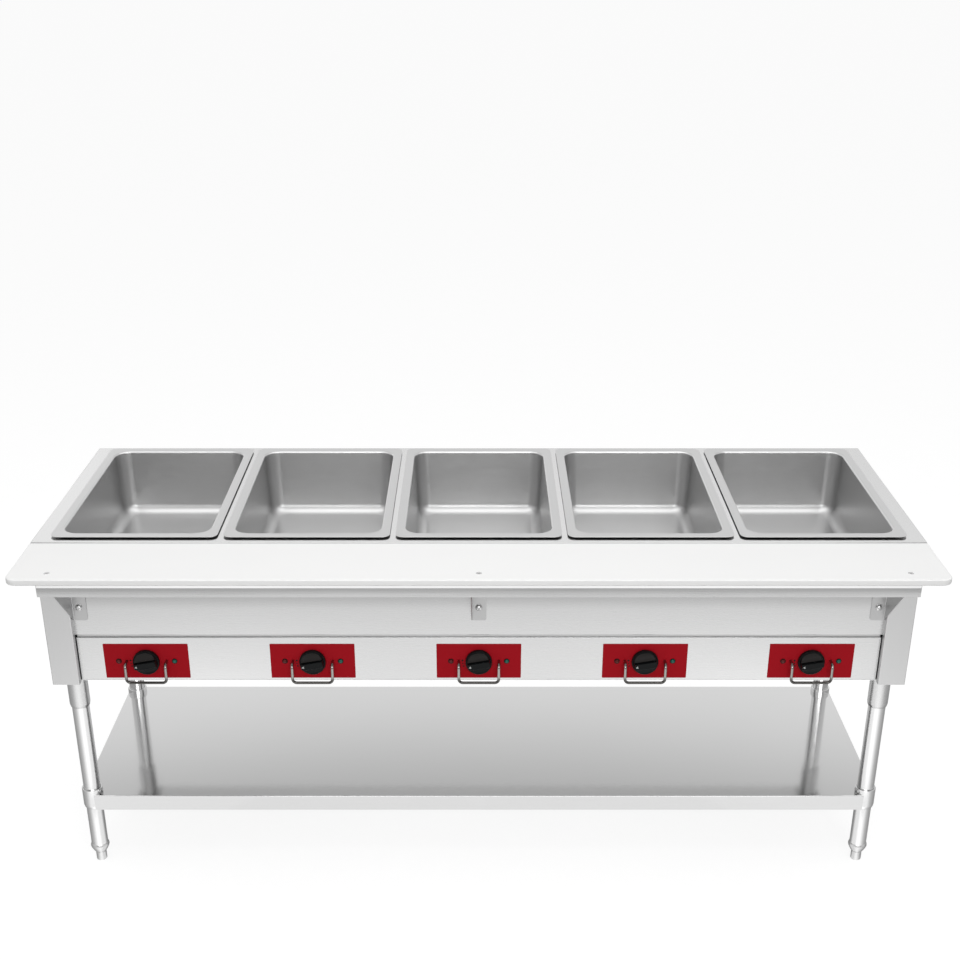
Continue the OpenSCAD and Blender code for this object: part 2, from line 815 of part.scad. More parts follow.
// Shelf with turned-down edges, cut round the sleeves at its corners
module undershelf() {
  x = leg_x + shelf_over;
  low = [-x, y_leg_front - shelf_over, shelf_h - shelf_lip];
  high = [x, y_leg_rear + shelf_over, shelf_h];
  wall = [sheet_t, sheet_t, 0];
  color(steel) difference() {
    box(low, high);
    box(low + wall - [0, 0, cut], high - wall - [0, 0, sheet_t]);
    at_legs(shelf_h - shelf_lip - cut) cylinder(r = sleeve_r + seat_gap, h = shelf_lip + 2 * cut);
    for (s = [-1, 1], t = [-1, 1]) {
      y = t < 0 ? y_leg_front : y_leg_rear;
      translate([s * leg_x, y, shelf_h - shelf_lip / 2]) translate([s, t, 0] * shelf_over)
        cube([2 * shelf_over, 2 * shelf_over, shelf_lip + 2 * cut], center = true);
    }
  }
}

// Places a set screw's line at each leg, pointing in from the table's ends
module at_set_screws() {
  for (s = [-1, 1], t = [0, 1])
    translate([s * leg_x, leg_y[t], z_set_screw])
      rotate([0, 90, 90 + s * 90 - s * set_screw_turn[t]]) children();
}

// Sleeves welded to the shelf's corners, running on the legs
module shelf_sleeves() {
  inner = leg_d / 2 + sleeve_clear;
  l = sleeve_rise + shelf_lip;
  color(steel) difference() {
    at_legs(shelf_h - shelf_lip) rotate_extrude()
      polygon([[inner, 0], [inner + leg_t, 0], [sleeve_r, sleeve_taper], [sleeve_r, l], [inner, l]]);
    at_set_screws() cylinder(d = set_screw_shank + 2 * hole_clear, h = sleeve_d);
  }
}

module shelf_screws() {
  color(steel) at_set_screws() {
    translate([0, 0, leg_d / 2 + fit_gap]) cylinder(d = set_screw_shank, h = sleeve_r - leg_d / 2);
    translate([0, 0, sleeve_r]) cylinder(d = set_screw_d, h = set_screw_head);
  }
}

// Screw foot under a leg: side is -1 or 1, and row is 0 at the front
module foot(side, row) {
  r = foot_d / 2;
  color(steel) translate([side * leg_x, leg_y[row], 0]) rotate_extrude()
    polygon([[0, 0], [r - foot_chamfer, 0], [r, foot_chamfer], [r, foot_h - foot_gap],
             [foot_screw_d / 2, foot_h - foot_gap], [foot_screw_d / 2, foot_screw_top],
             [0, foot_screw_top]]);
}

// Collars pressed into the ends of the tubes, bored for the foot screws
module foot_inserts() {
  bore = foot_screw_d / 2 + fit_gap;
  plug = leg_d / 2 - leg_t - fit_gap / 2;
  color(steel) at_legs() rotate_extrude()
    polygon([[bore, foot_h], [foot_d / 2 + collar_foot, foot_h], [collar_d / 2, collar_widest],
             [leg_d / 2, leg_bottom],
             [plug, leg_bottom], [plug, leg_bottom + plug_l], [bore, leg_bottom + plug_l]]);
}

// Connection block on the bottom panel, with its clamp screws
module terminal_block() {
  ways = 3;
  color(block_cream) translate([well_x[0], block_y, z_control]) {
    translate([-block_w / 2, -block_d / 2, 0]) cube([block_w, block_d, block_h]);
    for (i = [0 : ways - 1]) translate([(i - (ways - 1) / 2) * block_w / ways, 0, block_h - cut])
      cylinder(d = block_d / 3, h = cut + clamp_h);
  }
}

// Cable inlet through the bottom panel: dome below, nut above
module cable_gland() {
  color(cable_black) translate([gland_x, gland_y, z_bottom]) difference() {
    union() {
      rotate_extrude() polygon([[0, 0], [gland_flange, 0], [gland_flange, -gland_l / 3],
                                [gland_r, -gland_l / 3], [gland_neck, -gland_l], [0, -gland_l]]);
      translate([0, 0, -cut]) cylinder(r = gland_neck, h = sheet_t + nut_t + gland_end + cut);
      translate([0, 0, sheet_t]) cylinder(r = gland_nut, h = nut_t, $fn = 6);
    }
    translate([0, 0, -gland_l - cut])
      cylinder(r = gland_bore, h = gland_l + sheet_t + nut_t + gland_end + 2 * cut);
  }
}

// Loom on the bottom panel: a trunk, a lead to each switch and to each heating tube's end
module wiring_loom() {
  y_block = block_y - block_d / 2;
  y_terminal = y_inside + switch_depth + terminal_w;
  run = y_tail - lead_bend - y_terminal;
  drop = z_knob - lead_bend - z_loom;
  color(cable_black) {
    translate([-loom_half, y_tail, z_loom]) rotate([0, 90, 0]) cylinder(d = loom_d, h = 2 * loom_half);
    rod_y([well_x[0], y_tail, z_loom], loom_d / 2, y_block - y_tail);
    at_wells() {
      translate([0, y_tail - lead_bend, z_knob - lead_bend])
        rotate([90, 0, 90]) bend(lead_bend, lead_d);
      rod_y([0, y_terminal, z_knob], lead_d / 2, run);
      translate([0, y_tail, z_loom]) cylinder(d = lead_d, h = drop);
      for (x = [-tail_x, tail_x])
        translate([x, y_tail, z_loom]) cylinder(d = lead_d, h = z_tail - z_loom);
    }
  }
}

top_panel();
left_end_panel();
right_end_panel();
rear_panel();
front_apron();
control_panel();
bottom_panel();
well_deck();
well_liner(1);  // well_liner_1
well_liner(2);  // well_liner_2
well_liner(3);  // well_liner_3
well_liner(4);  // well_liner_4
well_liner(5);  // well_liner_5
well_insulation();
heating_element(1);  // heating_element_1
heating_element(2);  // heating_element_2
heating_element(3);  // heating_element_3
heating_element(4);  // heating_element_4
heating_element(5);  // heating_element_5
element_supports();
well_pan(1);  // well_pan_1
well_pan(2);  // well_pan_2
well_pan(3);  // well_pan_3
well_pan(4);  // well_pan_4
well_pan(5);  // well_pan_5
cutting_board();
board_rail();
left_bracket();
centre_bracket();
right_bracket();
board_screws();
bracket_bolts();
switch_plates();
knob(1);  // knob_1
knob(2);  // knob_2
knob(3);  // knob_3
knob(4);  // knob_4
knob(5);  // knob_5
switch_shaft(1);  // switch_shaft_1
switch_shaft(2);  // switch_shaft_2
switch_shaft(3);  // switch_shaft_3
switch_shaft(4);  // switch_shaft_4
switch_shaft(5);  // switch_shaft_5
heat_switches();
knob_guards();
power_lamps();
heat_lamps();
legs();
leg_sockets();
undershelf();
shelf_sleeves();
shelf_screws();
foot(-1, 0);  // front_left_foot
foot(1, 0);  // front_right_foot
foot(-1, 1);  // rear_left_foot
foot(1, 1);  // rear_right_foot
foot_inserts();
terminal_block();
cable_gland();
wiring_loom();
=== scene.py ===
"""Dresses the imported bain-marie: sheet steel, pans, board, switches, legs and shelf, and the studio."""

import math

import bmesh
import bpy
from bpy.props import FloatProperty, FloatVectorProperty, IntProperty, PointerProperty
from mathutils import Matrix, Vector


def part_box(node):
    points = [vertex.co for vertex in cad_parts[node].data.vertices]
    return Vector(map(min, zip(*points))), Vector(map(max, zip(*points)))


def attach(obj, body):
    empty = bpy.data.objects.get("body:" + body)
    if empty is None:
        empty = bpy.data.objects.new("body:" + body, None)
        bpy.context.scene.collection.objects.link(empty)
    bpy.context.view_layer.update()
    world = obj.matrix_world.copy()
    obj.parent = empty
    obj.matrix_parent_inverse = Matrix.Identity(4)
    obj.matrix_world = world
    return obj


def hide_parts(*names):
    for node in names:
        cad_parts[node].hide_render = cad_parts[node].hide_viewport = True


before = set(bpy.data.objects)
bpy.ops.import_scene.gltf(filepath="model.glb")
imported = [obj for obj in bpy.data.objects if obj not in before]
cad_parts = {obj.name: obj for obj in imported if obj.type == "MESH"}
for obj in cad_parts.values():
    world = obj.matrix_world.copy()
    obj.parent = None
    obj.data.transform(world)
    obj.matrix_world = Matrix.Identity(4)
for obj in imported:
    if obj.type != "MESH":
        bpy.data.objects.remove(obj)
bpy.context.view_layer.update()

bl_info = {
    "name": "Bain-marie dresser",
    "version": (1, 0, 0),
    "blender": (4, 5, 0),
    "location": "View3D > Sidebar > Bain-marie",
    "description": "Dresses the packed bain-marie with its steel, pans, switches and studio",
    "category": "Object",
}

MM = 0.001
WELLS = range(1, 6)
RIGHT = Vector((1, 0, 0))
OUT = Vector((0, -1, 0))
UP = Vector((0, 0, 1))
WHITE = (1.0, 1.0, 1.0, 1.0)
CLOSE = 0.02 * MM
WELD = 0.005 * MM
BRUSHING = 0.2 * MM
FLOOR_SIZE = 240.0
CAMERA_REACH = 400.0
SENSOR_WIDTH = 36.0
BOARD_JOINT = 0.2 * MM
NUT_HEIGHT = 5.0
FEET = ("front_left", "front_right", "rear_left", "rear_right")
BRACKETS = {"left": -1, "centre": -1, "right": 1}
LOW = {name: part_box(name)[0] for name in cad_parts}
HIGH = {name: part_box(name)[1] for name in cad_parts}


def box(node):
    """A node's lowest and highest corner."""
    return LOW[node], HIGH[node]


def middle_x(node):
    """Where a node's middle lies along the row of wells."""
    return (LOW[node].x + HIGH[node].x) / 2


WELL_X = [middle_x(f"knob_{i}") for i in WELLS]
KNOB_Z = (LOW["knob_1"].z + HIGH["knob_1"].z) / 2
PLATE_Y = LOW["switch_plates"].y


def length(name, description, default):
    """A length that the user may change."""
    return FloatProperty(
        name=name, description=description, default=default, min=0.0, unit="LENGTH", precision=4
    )


def angle(name, description, degrees):
    """An angle that the user may change."""
    return FloatProperty(name=name, description=description, default=math.radians(degrees), subtype="ANGLE")


def power(name, description, default):
    """A lamp's power that the user may change."""
    return FloatProperty(name=name, description=description, default=default, unit="POWER")


def colour(name, description, default):
    """A colour that the user may change."""
    solid = (*default, 1.0)
    return FloatVectorProperty(
        name=name, description=description, default=solid, size=4, min=0.0, max=1.0, subtype="COLOR"
    )


class PanSizes(bpy.types.PropertyGroup):
    """Shape of the lift-out pans"""

    sheet: length("Pan sheet", "Thickness of the pressed steel", 1.0 * MM)
    side_rim: length("Side rim", "Width of the flat rim along the sides", 20 * MM)
    end_rim: length("End rim", "Width of the flat rim at the front and the rear", 23 * MM)
    rim_corner: length("Rim corner", "Radius of the rim's outer corners", 16.5 * MM)
    roll: length("Rim roll", "Radius of the rounded outer edge", 0.5 * MM)
    mouth_bend: length("Mouth bend", "Radius between the rim and the walls", 4 * MM)
    rim_fall: length("Rim fall", "How far the rim falls towards the mouth", 0.05 * MM)
    corner: length("Wall corner", "Radius of the upright corners", 33 * MM)
    floor_bend: length("Floor bend", "Radius between the walls and the floor", 24 * MM)
    lean: length("Wall lean", "How far the walls lean in from mouth to floor", 8 * MM)


class SheetSizes(bpy.types.PropertyGroup):
    """Folds of the sheet-steel pieces"""

    sheet: length("Body sheet", "Thickness of the body's sheet", 1.2 * MM)
    top_sheet: length("Top sheet", "Thickness of the top and the rail", 1.5 * MM)
    bracket_sheet: length("Bracket sheet", "Thickness of the brackets", 2.0 * MM)
    fold: length("Fold", "Radius of a fold", 2.0 * MM)
    well_corner: length("Well corner", "Corner radius of the openings in the top", 24 * MM)
    well_margin: length("Well margin", "Flange of a liner outside its opening", 10 * MM)
    rear_flange: length("Rear flange", "Width of the flange behind each end panel", 25 * MM)
    seam: length("Seam", "Opening of the seam above the switch panel", 2.8 * MM)
    board_edge: length("Board edge", "Rounding of the board's edges", 2.8 * MM)
    board_gap: length("Board gap", "Open joint behind the board", 4.0 * MM)
    board_corner: length("Board corner", "Radius of the board's front corners", 21 * MM)


class ControlSizes(bpy.types.PropertyGroup):
    """Shape of the knobs, lamps and guards"""

    skirt: length("Knob skirt", "Height of a knob's round skirt", 9 * MM)
    grip: length("Knob grip", "Width of a knob's grip at its front", 12 * MM)
    bore: length("Knob bore", "Radius of the hole for the shaft", 3.05 * MM)
    rest: angle("Knob rest", "Turn of the grip at rest", 190)
    wire: length("Guard wire", "Radius of the guard wire", 3 * MM)
    wire_bend: length("Guard bend", "Radius of the guard's bends", 9 * MM)
    lamp: length("Lamp", "Radius of a lamp's lens", 4.8 * MM)
    ring: length("Lamp ring", "Radius of a lamp's ring", 6 * MM)


class LegSizes(bpy.types.PropertyGroup):
    """Shape of the legs, sockets, sleeves and feet"""

    tube: length("Tube", "Outer radius of a leg", 19.05 * MM)
    wall: length("Tube wall", "Thickness of a leg's wall", 1.5 * MM)
    socket: length("Socket", "Outer radius of a socket", 22.5 * MM)
    sleeve: length("Sleeve", "Outer radius of a shelf sleeve", 23.25 * MM)
    post: length("Post", "Outer radius of a screw foot", 12 * MM)
    sides: IntProperty(name="Sides", description="Sides of the round pieces", default=48, min=12, max=128)


class Colours(bpy.types.PropertyGroup):
    """Colours of the finishes"""

    steel: colour("Steel", "Brushed sheet", (0.62, 0.62, 0.62))
    # Darker than the body steel: painted shade inside the pans.
    pan: colour("Pan steel", "Inside of the pans", (0.51, 0.51, 0.51))
    shelf: colour("Shelf steel", "Bright shelf", (0.64, 0.64, 0.64))
    tube: colour("Tube steel", "Polished tubes", (0.70, 0.70, 0.70))
    fitting: colour("Fitting steel", "Sockets, collars, feet and fasteners", (0.60, 0.60, 0.60))
    wire: colour("Guard wire", "Bent wire", (0.31, 0.30, 0.285))
    # Brighter than the body steel: painted light on the body's shaded underside.
    under: colour("Underside", "Bright sheet under the body", (0.92, 0.92, 0.92))
    # Brighter than the body steel: a painted highlight along the rail under the board.
    hem: colour("Hem", "Bright hem of the rail", (0.76, 0.76, 0.76))
    zinc: colour("Galvanised", "Liners and deck", (0.55, 0.57, 0.58))
    heater: colour("Heater", "Heat-darkened tube", (0.16, 0.15, 0.14))
    board: colour("Board", "White polyethylene", (0.94, 0.94, 0.935))
    plate: colour("Plate", "Red enamel", (0.43, 0.006, 0.014))
    black: colour("Black plastic", "Knobs, bezels and gland", (0.006, 0.007, 0.0075))
    # Lighter than the black plastic: painted light on the knobs' upper hollow.
    hollow: colour("Hollow", "Matt hollows of the knobs", (0.031, 0.028, 0.027))
    red_lens: colour("Red lens", "Unlit red lamp", (0.11, 0.008, 0.006))
    green_lens: colour("Green lens", "Green lamp", (0.004, 0.11, 0.08))
    cream: colour("Moulding", "Switch bodies and terminal block", (0.62, 0.58, 0.46))
    fibre: colour("Fibre", "Glass-fibre blanket", (0.72, 0.60, 0.30))
    cable: colour("Cable", "Wiring", (0.02, 0.02, 0.021))
    print: colour("Print", "White mark on the knobs", (0.55, 0.56, 0.55))


class Studio(bpy.types.PropertyGroup):
    """Camera and light"""

    eye: FloatVectorProperty(
        name="Eye", description="Place of the camera", default=(0.0, -2.8602, 1.9669), subtype="TRANSLATION"
    )
    tilt: angle("Tilt", "Camera's tilt from straight down", 64.08)
    lens: FloatProperty(
        name="Lens", description="Focal length on a 36 mm sensor", default=52.63, unit="CAMERA"
    )
    shift: FloatVectorProperty(
        name="Shift", description="Lens shift, in widths of the picture", default=(0.00125, 0.1414), size=2
    )
    overhead: power("Overhead", "Power of the softbox overhead", 38.0)
    key: power("Key", "Power of the front softbox", 65.0)


class Value:
    """A shader socket, wrapped so that maths on it adds Math nodes."""

    def __init__(self, finish, socket):
        self.finish = finish
        self.socket = socket

    def maths(self, operation, first, second):
        return self.finish.node("ShaderNodeMath", {"operation": operation}, {0: first, 1: second})

    def __add__(self, other):
        return self.maths("ADD", self, other)

    def __radd__(self, other):
        return self.maths("ADD", other, self)

    def __sub__(self, other):
        return self.maths("SUBTRACT", self, other)

    def __rsub__(self, other):
        return self.maths("SUBTRACT", other, self)

    def __mul__(self, other):
        return self.maths("MULTIPLY", self, other)

    def __rmul__(self, other):
        return self.maths("MULTIPLY", other, self)

    def most(self, other):
        return self.maths("MAXIMUM", self, other)

    def least(self, other):
        return self.maths("MINIMUM", self, other)

    def size(self):
        return self.maths("ABSOLUTE", self, 0.0)


class Finish:
    """A node tree under construction: a material's or the world's."""

    def __init__(self, owner):
        owner.use_nodes = True
        self.owner = owner
        self.tree = owner.node_tree
        self.tree.nodes.clear()

    def node(self, kind, settings=None, inputs=None, output=0):
        """Adds a node with its settings first, then its values and links, and returns one output."""
        made = self.tree.nodes.new(kind)
        for key, value in (settings or {}).items():
            setattr(made, key, value)
        for key, value in (inputs or {}).items():
            if isinstance(value, Value):
                self.tree.links.new(value.socket, made.inputs[key])
            else:
                made.inputs[key].default_value = value
        return Value(self, made.outputs[output]) if len(made.outputs) else made

    def place(self, scale=(1.0, 1.0, 1.0)):
        """Object coordinates, stretched."""
        raw = self.node("ShaderNodeTexCoord", output="Object")
        return self.node("ShaderNodeMapping", None, {"Vector": raw, "Scale": scale})

    def axis(self, vector, index):
        """One coordinate of a vector: 0 for x, 1 for y and 2 for z."""
        return self.node("ShaderNodeSeparateXYZ", None, {0: vector}, output=index)

    def height(self):
        """Height on the piece."""
        return self.axis(self.place(), 2)

    def noise(self, scale, detail=3.0, rough=0.55):
        """Noise over the piece, stretched."""
        settings = {"noise_dimensions": "3D"}
        inputs = {"Vector": self.place(scale), "Scale": 1.0, "Detail": detail, "Roughness": rough}
        return self.node("ShaderNodeTexNoise", settings, inputs)

    def smooth(self, value, low, high):
        """Goes smoothly from 0 at low to 1 at high."""
        inputs = {"Value": value, "From Min": low, "From Max": high}
        return self.node("ShaderNodeMapRange", {"interpolation_type": "SMOOTHSTEP"}, inputs)

    def mix(self, factor, first, second):
        """Mixes two colours."""
        inputs = {0: factor, 6: first, 7: second}
        return self.node("ShaderNodeMix", {"data_type": "RGBA"}, inputs, output=2)

    def mottled(self, tone, tint, darkest, lightest):
        """A colour that goes from a darker to a lighter shade of itself with a tone."""
        return self.mix(tone, shade(tint, darkest), shade(tint, lightest))

    def bump(self, height, strength, distance):
        """A relief for a Normal socket."""
        inputs = {"Height": height, "Strength": strength, "Distance": distance}
        return self.node("ShaderNodeBump", None, inputs)

    def surface(self, **inputs):
        """Closes a material with one Principled shader."""
        named = {key.replace("_", " "): value for key, value in inputs.items()}
        shader = self.node("ShaderNodeBsdfPrincipled", None, named)
        self.node("ShaderNodeOutputMaterial", None, {"Surface": shader})
        return self.owner


def shade(tint, factor):
    """The same colour, lighter or darker."""
    return (*[min(1.0, part * factor) for part in tint[:3]], 1.0)


def even(scale):
    """The same stretch in all directions."""
    return (scale, scale, scale)


def new_finish(name):
    """A material with an empty node tree."""
    return Finish(bpy.data.materials.new(name))


def steel(name, tint, rough, grain, contrast=0.10, relief=0.06, spread=0.16, painted_shade=None):
    """Brushed steel: fine streaks along the grain, broad clouds, and optional painted shade that fades it to
    a darker tone by height.
    """
    f = new_finish(name)
    streak = f.noise(grain, 3.0, 0.6)
    cloud = f.noise(even(2.3), 2.0)
    base = f.mottled(streak * 0.65 + cloud * 0.35, tint, 1.0 - contrast, 1.0 + contrast)
    if painted_shade:
        bright_at, dark_at, dark = painted_shade
        base = f.mix(f.smooth(f.height(), bright_at, dark_at), base, shade(tint, dark))
    return f.surface(
        Base_Color=base,
        Metallic=1.0,
        Roughness=rough + (streak - 0.5) * spread + (cloud - 0.5) * spread * 0.5,
        Normal=f.bump(streak, relief, BRUSHING),
    )


def pan_steel(name, inside, rim, brow, floor):
    """Pressed steel, satin: inside a darker tint as painted shade, the floor painted brighter, and above a
    height the rim in the body's tint.
    """
    f = new_finish(name)
    z = f.height()
    fine = f.noise((40, 160, 160), 3.0)
    cloud = f.noise(even(7), 2.0)
    tone = fine * 0.5 + cloud * 0.5
    on_rim = f.smooth(z, brow - 2 * MM, brow + 2 * MM)
    floor_painted_light = f.smooth(z, floor + 9 * MM, floor + 1 * MM)
    # Painted shade and light: the inside darker than the rim, and the floor painted brighter.
    satin = f.mix(floor_painted_light, f.mottled(tone, inside, 0.94, 1.06), f.mottled(tone, inside, 1.08, 1.20))
    return f.surface(
        Base_Color=f.mix(on_rim, satin, f.mottled(tone, rim, 0.96, 1.04)),
        Metallic=1.0,
        Roughness=0.38 + (fine - 0.5) * 0.10 + (cloud - 0.5) * 0.06,
        Normal=f.bump(fine, 0.03, BRUSHING),
    )


def wire_steel(name, tint, bright_at, dark_at):
    """Bright wire with painted shade: its colour darkened along the crossbar, below a height."""
    f = new_finish(name)
    fine = f.noise(even(300), 3.0)
    crossbar_painted_shade = f.smooth(f.height(), bright_at, dark_at)
    return f.surface(
        Base_Color=f.mix(crossbar_painted_shade, f.mottled(fine, tint, 0.96, 1.04), shade(tint, 0.30)),
        Metallic=1.0,
        Roughness=0.16 + (fine - 0.5) * 0.16,
        Normal=f.bump(fine, 0.02, BRUSHING),
    )


def plastic(name, tint, rough, grain, relief, contrast=0.06, coat=0.0, shine=0.5):
    """Moulded plastic or enamel with a fine grain and faint clouds."""
    f = new_finish(name)
    fine = f.noise(even(grain), 2.0)
    cloud = f.noise(even(9.0), 2.0)
    return f.surface(
        Base_Color=f.mottled(fine * 0.5 + cloud * 0.5, tint, 1.0 - contrast, 1.0 + contrast),
        Roughness=rough + (fine - 0.5) * 0.12,
        Specular_IOR_Level=shine,
        Coat_Weight=coat,
        Coat_Roughness=0.12,
        Normal=f.bump(fine, relief, 0.15 * MM),
    )


def zinc(name, tint):
    """Galvanised sheet with its spangle."""
    f = new_finish(name)
    inputs = {"Vector": f.place(even(90)), "Scale": 1.0}
    flake = f.node("ShaderNodeTexVoronoi", None, inputs, "Color")
    grey = f.node("ShaderNodeRGBToBW", None, {"Color": flake})
    return f.surface(
        Base_Color=f.mottled(grey, tint, 0.85, 1.15), Metallic=1.0, Roughness=0.38 + grey * 0.2
    )


def fibre(name, tint):
    """Glass-fibre blanket: tangled strands in two directions."""
    f = new_finish(name)
    strand = f.noise((60, 900, 300), 4.0, 0.7) * 0.5 + f.noise((900, 60, 300), 4.0, 0.7) * 0.5
    return f.surface(
        Base_Color=f.mottled(strand, tint, 0.6, 1.2),
        Roughness=0.95,
        Normal=f.bump(strand, 0.6, 2 * MM),
    )


def make_finishes(tints):
    """The finishes by name, each with its tint, roughness, grain and contrast, and its relief and spread."""
    along_x, along_y, along_z = (5, 700, 700), (700, 5, 700), (700, 700, 5)
    rail_low = LOW["board_rail"].z
    pan_low, pan_high = LOW["well_pan_1"].z, HIGH["well_pan_1"].z
    # Painted shade under the board: the rail and the apron darken towards their tops; the rail's raised tint
    # is a painted lighter tone at its foot.
    rail_painted_shade = (rail_low + 2 * MM, rail_low + 18 * MM, 0.69)
    apron_painted_shade = (rail_low - 118 * MM, rail_low - 84 * MM, 0.80)
    return {
        "sheet": steel("brushed_sheet", tints.steel, 0.28, along_x),
        "rail": steel("brushed_rail_painted_shade", shade(tints.steel, 1.26), 0.28, along_x, painted_shade=rail_painted_shade),
        "apron": steel("brushed_apron_painted_shade", tints.steel, 0.28, along_x, painted_shade=apron_painted_shade),
        # The darker dull copy of the sheet is painted shade, for the brackets under the board and the strip
        # in the seam.
        "dull": steel("dull_shaded_sheet", shade(tints.steel, 0.81), 0.36, along_x, 0.05, 0.03),
        # The hem's tint, brighter than the sheet's, is a painted highlight under the board.
        "hem": steel("bright_hem_painted_highlight", tints.hem, 0.30, along_x, 0.05, 0.02),
        "top": steel("satin_top", tints.steel, 0.17, along_x, 0.03, 0.012, 0.05),
        "side": steel("brushed_side", tints.steel, 0.46, along_y),
        # The underside's bright tint is painted light, mirrored in the shelf instead of a dark body.
        "under": steel("bright_underside_painted_light", tints.under, 0.30, along_x, 0.05, 0.02),
        "pan": pan_steel("satin_pan", tints.pan, tints.steel, pan_high - 4 * MM, pan_low + 1 * MM),
        "shelf": steel("bright_shelf", tints.shelf, 0.09, along_x, 0.04, 0.004, 0.03),
        "tube": steel("polished_tube", tints.tube, 0.18, along_z, 0.06, 0.02, 0.08),
        "fitting": steel("satin_fitting", tints.fitting, 0.28, even(400), 0.05, 0.03),
        # Painted shade on the guards' crossbars, below a height.
        "wire": wire_steel("bright_wire", tints.wire, KNOB_Z - 26 * MM, KNOB_Z - 36 * MM),
        "heater": steel("heater_tube", tints.heater, 0.45, even(90), 0.25, 0.1),
        "zinc": zinc("galvanised_sheet", tints.zinc),
        "board": plastic("white_board", tints.board, 0.42, 420, 0.10, 0.02),
        "plate": plastic("red_enamel", tints.plate, 0.45, 260, 0.05, 0.05, 0.0, 0.10),
        "black": plastic("black_plastic", tints.black, 0.34, 900, 0.12, 0.2, 0.0, 0.12),
        # The hollow's lighter colour is painted light, used on the upper hollow only.
        "hollow": plastic("matt_hollow_painted_light", tints.hollow, 0.55, 1200, 0.15, 0.15, 0.0, 0.08),
        "red_lens": plastic("red_lens", tints.red_lens, 0.20, 300, 0.02, 0.1, 0.05, 0.25),
        "green_lens": plastic("green_lens", tints.green_lens, 0.20, 300, 0.02, 0.1, 0.15, 0.3),
        "cream": plastic("cream_moulding", tints.cream, 0.4, 500, 0.08),
        "cable": plastic("cable_sleeve", tints.cable, 0.55, 700, 0.2, 0.2),
        "print": plastic("white_print", tints.print, 0.5, 800, 0.05),
        "fibre": fibre("fibre_blanket", tints.fibre),
    }


FINISH = {}


def leave_edit():
    """Goes back to object mode."""
    if bpy.context.mode != "OBJECT":
        bpy.ops.object.mode_set(mode="OBJECT")


def select_none():
    """Leaves edit mode with no object selected."""
    leave_edit()
    bpy.ops.object.select_all(action="DESELECT")


def activate(piece):
    """Makes one object the only selected one."""
    select_none()
    piece.select_set(True)
    bpy.context.view_layer.objects.active = piece


def edit_vertices():
    """Opens the active mesh for editing."""
    bpy.ops.object.mode_set(mode="EDIT")
    bpy.ops.mesh.select_mode(type="VERT")


def new_mesh(name):
    """Adds an empty mesh at the origin and opens it for editing."""
    select_none()
    bpy.ops.object.add(type="MESH", location=(0, 0, 0))
    piece = bpy.context.object
    piece.name = name
    piece.data.name = name
    edit_vertices()
    return piece


def reopen(piece):
    """Opens a finished piece for editing again."""
    activate(piece)
    edit_vertices()


def everything():
    """Selects the whole edited mesh."""
    bpy.ops.mesh.select_all(action="SELECT")


def pick(kind, test):
    """Selects only those elements of the edited mesh that pass a test."""
    bpy.ops.mesh.select_mode(type=kind)
    bpy.ops.mesh.select_all(action="DESELECT")
    data = bpy.context.edit_object.data
    shape = bmesh.from_edit_mesh(data)
    shape.normal_update()
    for element in {"VERT": shape.verts, "EDGE": shape.edges, "FACE": shape.faces}[kind]:
        element.select_set(bool(test(element)))
    shape.select_flush_mode()
    bmesh.update_edit_mesh(data)


def near(first, second):
    """Whether two coordinates are the same, apart from rounding."""
    return abs(first - second) < CLOSE


def lies(element, axis, value):
    """Whether all corners of an edge or a face have the same coordinate."""
    return all(near(v.co[axis], value) for v in element.verts)


def drawn(vector):
    """Extrudes what is selected along a vector."""
    bpy.ops.mesh.extrude_region_move(TRANSFORM_OT_translate={"value": tuple(vector)})


def round_edges(test, width, segments=3):
    """Bevels the edges that pass a test."""
    pick("EDGE", test)
    bpy.ops.mesh.bevel(offset=width, segments=segments, affect="EDGES", clamp_overlap=True)


def close_up():
    """Merges doubles, closes open ends and turns the faces outwards."""
    bpy.ops.mesh.select_mode(type="VERT")
    everything()
    bpy.ops.mesh.remove_doubles(threshold=WELD)
    everything()
    bpy.ops.mesh.fill_holes(sides=0)
    everything()
    bpy.ops.mesh.normals_make_consistent(inside=False)


def face_towards(test, direction):
    """Turns a sheet's faces one way: the largest face that a test finds looks in a direction."""
    bpy.ops.mesh.select_mode(type="FACE")
    everything()
    bpy.ops.mesh.normals_make_consistent(inside=False)
    shape = bmesh.from_edit_mesh(bpy.context.edit_object.data)
    shape.normal_update()
    found = max((f for f in shape.faces if test(f)), key=lambda f: f.calc_area())
    if found.normal.dot(direction) < 0:
        bpy.ops.mesh.flip_normals()


def modify(piece, kind, **settings):
    """Adds a modifier and applies it."""
    activate(piece)
    bpy.ops.object.modifier_add(type=kind)
    modifier = piece.modifiers[-1]
    for key, value in settings.items():
        setattr(modifier, key, value)
    bpy.ops.object.modifier_apply(modifier=modifier.name)


def thicken(piece, thickness, even=True):
    """Gives a sheet its thickness, behind its outer face."""
    modify(piece, "SOLIDIFY", thickness=thickness, offset=-1.0, use_even_offset=even)


def cut_with(piece, draw, operation="DIFFERENCE"):
    """Cuts or joins a piece with a shape that draw() makes."""
    tool = new_mesh("cutter")
    draw()
    close_up()
    leave_edit()
    modify(piece, "BOOLEAN", operation=operation, solver="EXACT", object=tool)
    activate(tool)
    bpy.ops.object.delete()


def settle(piece, finish, body, slot, *nodes, smooth=35):
    """Shades a piece, gives it its finish and ties it to its body and nodes."""
    activate(piece)
    bpy.ops.object.shade_smooth_by_angle(angle=math.radians(smooth))
    modify(piece, "WEIGHTED_NORMAL", mode="FACE_AREA", weight=60, keep_sharp=True)
    piece.data.materials.clear()
    piece.data.materials.append(FINISH[finish])
    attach(piece, body)
    if nodes:
        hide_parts(*nodes)
    return piece


